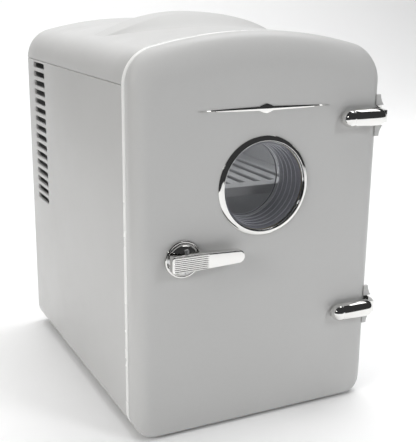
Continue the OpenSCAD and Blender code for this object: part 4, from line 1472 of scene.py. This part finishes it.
# %% A tree that sweeps a seal
def seal_tree():
    tree = bpy.data.node_groups.new("seal_path", "GeometryNodeTree")
    kinds = {label: "NodeSocketFloat" for label in ("Width", "Height", "Corner", "Band", "Thickness")}
    kinds |= {"Middle": "NodeSocketVector", "Finish": "NodeSocketMaterial"}
    for label, kind in kinds.items():
        tree.interface.new_socket(label, in_out="INPUT", socket_type=kind)
    tree.interface.new_socket("Geometry", in_out="OUTPUT", socket_type="NodeSocketGeometry")
    nodes, join = tree.nodes, tree.links.new
    given, out = nodes.new("NodeGroupInput"), nodes.new("NodeGroupOutput")

    def rounded_path(width, height, corner, count):
        path = nodes.new("GeometryNodeCurvePrimitiveQuadrilateral")
        join(width, path.inputs["Width"])
        join(height, path.inputs["Height"])
        bend = nodes.new("GeometryNodeFilletCurve")
        bend.mode = "POLY"
        bend.inputs["Count"].default_value = count
        bend.inputs["Limit Radius"].default_value = True
        join(path.outputs["Curve"], bend.inputs["Curve"])
        join(corner, bend.inputs["Radius"])
        return bend.outputs["Curve"]

    path = rounded_path(given.outputs["Width"], given.outputs["Height"], given.outputs["Corner"], 12)
    half = nodes.new("ShaderNodeMath")
    half.operation = "MULTIPLY"
    half.inputs[1].default_value = 0.45
    join(given.outputs["Thickness"], half.inputs[0])
    section = rounded_path(given.outputs["Band"], given.outputs["Thickness"], half.outputs["Value"], 5)
    swept = nodes.new("GeometryNodeCurveToMesh")
    join(path, swept.inputs["Curve"])
    join(section, swept.inputs["Profile Curve"])
    stood = nodes.new("GeometryNodeTransform")
    stood.inputs["Rotation"].default_value = (math.radians(90), 0, 0)
    join(swept.outputs["Mesh"], stood.inputs["Geometry"])
    join(given.outputs["Middle"], stood.inputs["Translation"])
    real = nodes.new("GeometryNodeRealizeInstances")
    join(stood.outputs["Geometry"], real.inputs["Geometry"])
    dressed = nodes.new("GeometryNodeSetMaterial")
    join(real.outputs["Geometry"], dressed.inputs["Geometry"])
    join(given.outputs["Finish"], dressed.inputs["Material"])
    join(dressed.outputs["Geometry"], out.inputs["Geometry"])
    return tree


SEAL_BOX = limits("door_gasket")
band = 4.0
thick = SEAL_BOX[4] - SEAL_BOX[1]
seal_middle = at(0, (SEAL_BOX[1] + SEAL_BOX[4]) / 2, (SEAL_BOX[2] + SEAL_BOX[5]) / 2)
seal = grown(link("door_seal_band", bpy.data.meshes.new("door_seal_band")), seal_tree(),
             Width=(SEAL_BOX[3] - SEAL_BOX[0] - band) * MM,
             Height=(SEAL_BOX[5] - SEAL_BOX[2] - band) * MM,
             Corner=15.0 * MM, Band=thick * MM, Thickness=band * MM,
             Middle=seal_middle, Finish=gasket_grey)
face_out(seal.data)
shade(seal.data, 40)
register(seal, gasket_grey, "gasket_grey", "door", "door_gasket")

# %% [markdown]
# ## Repeated parts
# Fins, fan blades, screws and feet are each one small shape repeated. One copy is drawn
# where the first one belongs, and the tree from the lever makes the rest.

# %% Heat sinks
def bar_sketch(low, high, ease):
    """A bar with eased long edges, from one corner to the other."""
    sketch = Sketch()
    (x0, y0, z0), (x1, y1, z1) = low, high
    sections = []
    for y, draw_in in ((y0, ease), (y0 + ease, 0), (y1 - ease, 0), (y1, ease)):
        half_w, half_h = (x1 - x0) / 2 - draw_in, (z1 - z0) / 2 - draw_in
        loop = rounded((x0 + x1) / 2, (z0 + z1) / 2, half_w, half_h, ease, 2)
        sections.append(upright(loop, y))
    sketch.loft(sections)
    return sketch


def heat_sink(name, node, plate_depth, fin_low, fin_high, count, step):
    """A base plate with a row of fins."""
    box = limits(node)
    y0, y1 = plate_depth
    plate = draw(f"{name}_plate", bar_sketch((box[0], y0, box[2]), (box[3], y1, box[5]), 0.4), 40)
    fin = draw(f"{name}_fins", bar_sketch(fin_low, fin_high, 0.3), 40)
    fins = grown(fin, copies, Count=count, Step=tuple(s * MM for s in step), Finish=aluminium)
    register(plate, aluminium, "aluminium", "cabinet", node)
    register(fins, aluminium, "aluminium", "cabinet")


hot = limits("hot_sink")
heat_sink("hot_sink", "hot_sink", (hot[1], hot[1] + 5.2), (hot[0], hot[1] + 5, hot[2]),
          (hot[3], hot[4], hot[2] + 1.6), 14, (0, 0, 7.57))
cold = limits("cold_sink")
heat_sink("cold_sink", "cold_sink", (cold[4] - 4, cold[4]), (cold[0], cold[1], cold[2]),
          (cold[0] + 1.4, cold[4] - 3.8, cold[5]), 12, (6.06, 0, 0))

# %% Fan rotors
def fan_rotor(name, node, body, hub_r, blades):
    """A domed hub and swept blades round it."""
    box = limits(node)
    y0 = box[1]
    y1 = y0 + (10 if hub_r > 10 else 5.8)
    tip = (box[3] - box[0]) / 2 - 0.4
    profile = [(0.3, y0), (hub_r - 2, y0), (hub_r - 0.6, y0 + 0.5), (hub_r, y0 + 1.6), (hub_r, y1), (1.5, y1),
               (1.5, box[4] - 0.2), (0.3, box[4])]
    hub = solid_turned(f"{name}_hub", profile, 0, COOL_Z, 40, 64)
    blade = Sketch()
    middle, half = (y0 + y1) / 2, (y1 - y0) / 2 - 0.7
    sections = []
    for k in range(9):
        t = k / 8
        r = hub_r - 1 + (tip - hub_r + 1) * t
        chord, pitch, sweep = hub_r * 0.42 + 3 * t, math.radians(58 - 18 * t), math.radians(14 * t)
        loop = []
        for u, v in arc((0, 0), (1, 1), 0, 360, 16)[:-1]:
            along, thick_v = chord * u, 0.55 * v
            y = middle + max(-half, min(half, along * math.cos(pitch))) + thick_v * math.sin(pitch)
            side = along * math.sin(pitch) - thick_v * math.cos(pitch)
            a = sweep + side / max(r, 1)
            loop.append((r * math.cos(a), y, COOL_Z + r * math.sin(a)))
        sections.append(loop)
    blade.loft(sections)
    turn = (0, 2 * math.pi / blades, 0)
    centre = at(0, 0, COOL_Z)
    blades_piece = grown(draw(f"{name}_blades", blade, 60), copies, Count=blades, Turn=turn,
                         Centre=centre, Finish=black_plastic)
    register(hub, black_plastic, "black_plastic", body, node)
    register(blades_piece, black_plastic, "black_plastic", body)


fan_rotor("rear_fan", "rear_fan_rotor", "rear_fan", 14.0, 7)
fan_rotor("inner_fan", "inner_fan_rotor", "inner_fan", 9.0, 7)

# %% [markdown]
# A pan-head screw is a low dome with a cross recess. The dome is turned, and the cross is
# cut with a boolean once; the tree then places the four copies as two rows of two.

# %% Screws and feet
def screw_head(name, x, z, y, radius, height):
    """A domed head that faces the back, with a cross recess."""
    arch = arc((0, 0), (radius, height), 0, 85, 10)
    profile = [(0.2, y - 0.3), (radius, y - 0.3)] + [(r, y + d) for r, d in arch]
    head = solid_turned(name, profile, x, z, 50, 48)
    cross = Sketch()
    long, thin = radius * 0.62, radius * 0.14
    for half_x, half_z in ((long, thin), (thin, long)):
        loop = rounded(x, z, half_x, half_z, thin * 0.8, 2)
        cross.loft([upright(loop, y + height - 0.9), upright(loop, y + height + 1)])
    cutter = draw("cross_cutter", cross)
    cut = head.modifiers.new("cross", "BOOLEAN")
    cut.object = cutter
    cut.solver = "EXACT"
    cut.use_self = True
    settle(head)
    bpy.data.objects.remove(cutter)
    shade(head.data, 40)
    return head


def four_copies(obj, first, second, material):
    """Two rows of two copies."""
    pair = grown(obj, copies, Count=2, Step=tuple(s * MM for s in first), Finish=material)
    return grown(pair, copies, Count=2, Step=tuple(s * MM for s in second), Finish=material)


SCREWS = limits("rear_screws")
screw_x, screw_low, screw_high = SCREWS[3] - 3.2, SCREWS[2] + 3.2, SCREWS[5] - 3.2
panel_back = limits("rear_panel")[4]
head = screw_head("rear_pan_screws", -screw_x, screw_low, panel_back, 3.2, 1.7)
screws = four_copies(head, (2 * screw_x, 0, 0), (0, 0, screw_high - screw_low), steel)
register(screws, steel, "steel", "cabinet", "rear_screws")
FEET = limits("feet")
foot_x, foot_front, foot_back = FEET[3] - 8, FEET[1] + 8, FEET[4] - 8
foot_sketch = Sketch()
foot_sketch.loft([[(-foot_x + x, foot_front + y, z) for x, y in arc((0, 0), r, 0, 360, 48)[:-1]]
                  for z, r in ((FEET[5], 8.0), (0.9, 8.0), (0.35, 7.8), (0.1, 7.4), (0, 6.8), (0, 4.6),
                               (0.5, 4.3), (0.5, 0.4))])
foot_gap = (0, foot_back - foot_front, 0)
feet = four_copies(draw("rubber_feet", foot_sketch, 40), (2 * foot_x, 0, 0), foot_gap, rubber)
register(feet, rubber, "rubber", "cabinet", "feet")

# %% Hinge screws
LEAF = limits("hinge_screws")
leaf_sketch = Sketch()
leaf_x, leaf_y, leaf_z = LEAF[0], (LEAF[1] + LEAF[4]) / 2, LEAF[2] + 2.3
leaf_sketch.loft([[(leaf_x + d, leaf_y + y, leaf_z + z) for y, z in arc((0, 0), r, 0, 360, 40)[:-1]]
                  for d, r in ((0, 2.3), (0.35, 2.3), (0.75, 2.05), (1.0, 1.6), (1.12, 1.2), (1.12, 0.95),
                               (0.5, 0.8), (0.5, 0.2))])
leaf_gap = (0, 0, HINGES[1] - HINGES[0])
leaf = four_copies(draw("hinge_leaf_screws", leaf_sketch, 40), (0, 0, 16), leaf_gap, steel)
register(leaf, steel, "steel", "cabinet", "hinge_screws")

# %% [markdown]
# ## The door ornament
# A slim chrome spear crosses the upper door, with a lozenge at its middle. Its upper side
# is a low ridge, so each half catches the light differently.

# %% Ornament
ORNAMENT = limits("door_ornament")
ornament_z = (ORNAMENT[2] + ORNAMENT[5]) / 2
ornament_x = (ORNAMENT[3] - ORNAMENT[0]) / 2


def spear(half_length, half_height, low, high, steps=24):
    """A bar with a ridge along its middle that fades to a point at both ends."""
    sketch = Sketch()
    sections = []
    for k in range(2 * steps + 1):
        t = (k - steps) / steps
        x = half_length * t
        size = max(0.02, (1 - abs(t)) ** 0.55)
        h, rise = half_height * size, low + (high - low) * size
        base = DOOR_FRONT - 0.02
        sections.append([(x, base, ornament_z - h), (x, base - low * size, ornament_z - h),
                         (x, base - rise, ornament_z),
                         (x, base - low * size, ornament_z + h), (x, base, ornament_z + h)])
    sketch.loft(sections)
    return sketch


bar = draw("ornament_spear", spear(ornament_x, 1.5, 0.5, 1.2), 20)
lozenge = draw("ornament_lozenge", spear(7.0, 3.4, 0.5, 1.6, 10), 20)
register(bar, chrome, "chrome", "door", "door_ornament")
register(lozenge, chrome, "chrome", "door")

# %% [markdown]
# ## Floor and light
# The object stands on a pale sweep of paper: a floor that curves up behind it. Chrome only
# looks like chrome when it has something dark and something bright to show, so the paper
# ends just outside the view, and the room beyond it is dim. The lower edges then mirror
# bright paper and the upper edges mirror the dark room. Most of the light comes from big
# soft boxes that mirrors can't see: one overhead, one at each side and one on the paper
# behind. Two smaller boxes are left in the mirrors as glints, and a tiny one stands inside
# the cabinet, so that the shelf shows through the porthole.

# %% Floor
PAPER_LEFT, PAPER_RIGHT, PAPER_FRONT = -0.62, 3.6, -1.75
WALL_Y, WALL_TOP, SWEEP = 2.2, 3.0, 1.0
floor_mesh = bpy.data.meshes.new("floor")
line = [(PAPER_FRONT, 0.0), (WALL_Y - SWEEP, 0.0)]
line += [(WALL_Y - SWEEP + SWEEP * math.sin(a), SWEEP - SWEEP * math.cos(a))
         for a in [math.radians(90 * k / 12) for k in range(1, 13)]]
line += [(WALL_Y, WALL_TOP)]
corners = [(x, y, z) for y, z in line for x in (PAPER_LEFT, PAPER_RIGHT)]
floor_faces = [(2 * k, 2 * k + 1, 2 * k + 3, 2 * k + 2) for k in range(len(line) - 1)]
floor_mesh.from_pydata(corners, [], floor_faces)
floor_mesh.shade_smooth()
floor_finish = bpy.data.materials.new("pale_floor")
floor_finish.use_nodes = True
paint = floor_finish.node_tree.nodes["Principled BSDF"]
paint.inputs["Base Color"].default_value = (0.95, 0.95, 0.95, 1)
paint.inputs["Roughness"].default_value = 0.7
floor_mesh.materials.append(floor_finish)
floor = link("floor", floor_mesh)
print("paper from", PAPER_LEFT, "to", PAPER_RIGHT, "m")

# %% Lights
TARGET = Vector((0, 0, 0.14))


def softbox(name, spot, width, height, power, color=(1, 1, 1), mirrored=True):
    """A rectangular area light that faces the object; it may be kept out of mirrors."""
    data = bpy.data.lights.new(name, "AREA")
    data.shape = "RECTANGLE"
    data.size, data.size_y = width, height
    data.energy = power
    data.color = color
    lamp = bpy.data.objects.new(name, data)
    lamp.location = spot
    lamp.rotation_euler = (TARGET - Vector(spot)).to_track_quat("-Z", "Y").to_euler()
    lamp.visible_glossy = mirrored
    bpy.context.scene.collection.objects.link(lamp)


softbox("overhead", (-0.1, 0.1, 3.2), 3.2, 3.2, 62, mirrored=False)
softbox("upper_band", (0.9, 0.25, 2.2), 1.4, 1.4, 12)
softbox("left_tall", (-1.9, -0.7, 1.0), 0.8, 1.3, 20, (1.0, 0.99, 0.97), mirrored=False)
softbox("left_glint", (-1.7, -0.8, 1.1), 0.18, 0.30, 1.5)
softbox("right_key", (1.2, -1.9, 1.5), 0.6, 0.6, 15, (0.97, 0.985, 1.0), mirrored=False)
softbox("wall_wash", (0.8, 1.0, 2.9), 3.4, 0.8, 30, mirrored=False)
softbox("inside", (0.0, -0.065, 0.235), 0.10, 0.03, 0.035, mirrored=False)
world = bpy.data.worlds.new("studio")
bpy.context.scene.world = world
world.use_nodes = True
world.node_tree.nodes["Background"].inputs["Color"].default_value = (0.80, 0.81, 0.83, 1)
world.node_tree.nodes["Background"].inputs["Strength"].default_value = 0.05
bpy.context.scene.view_settings.view_transform = "Standard"
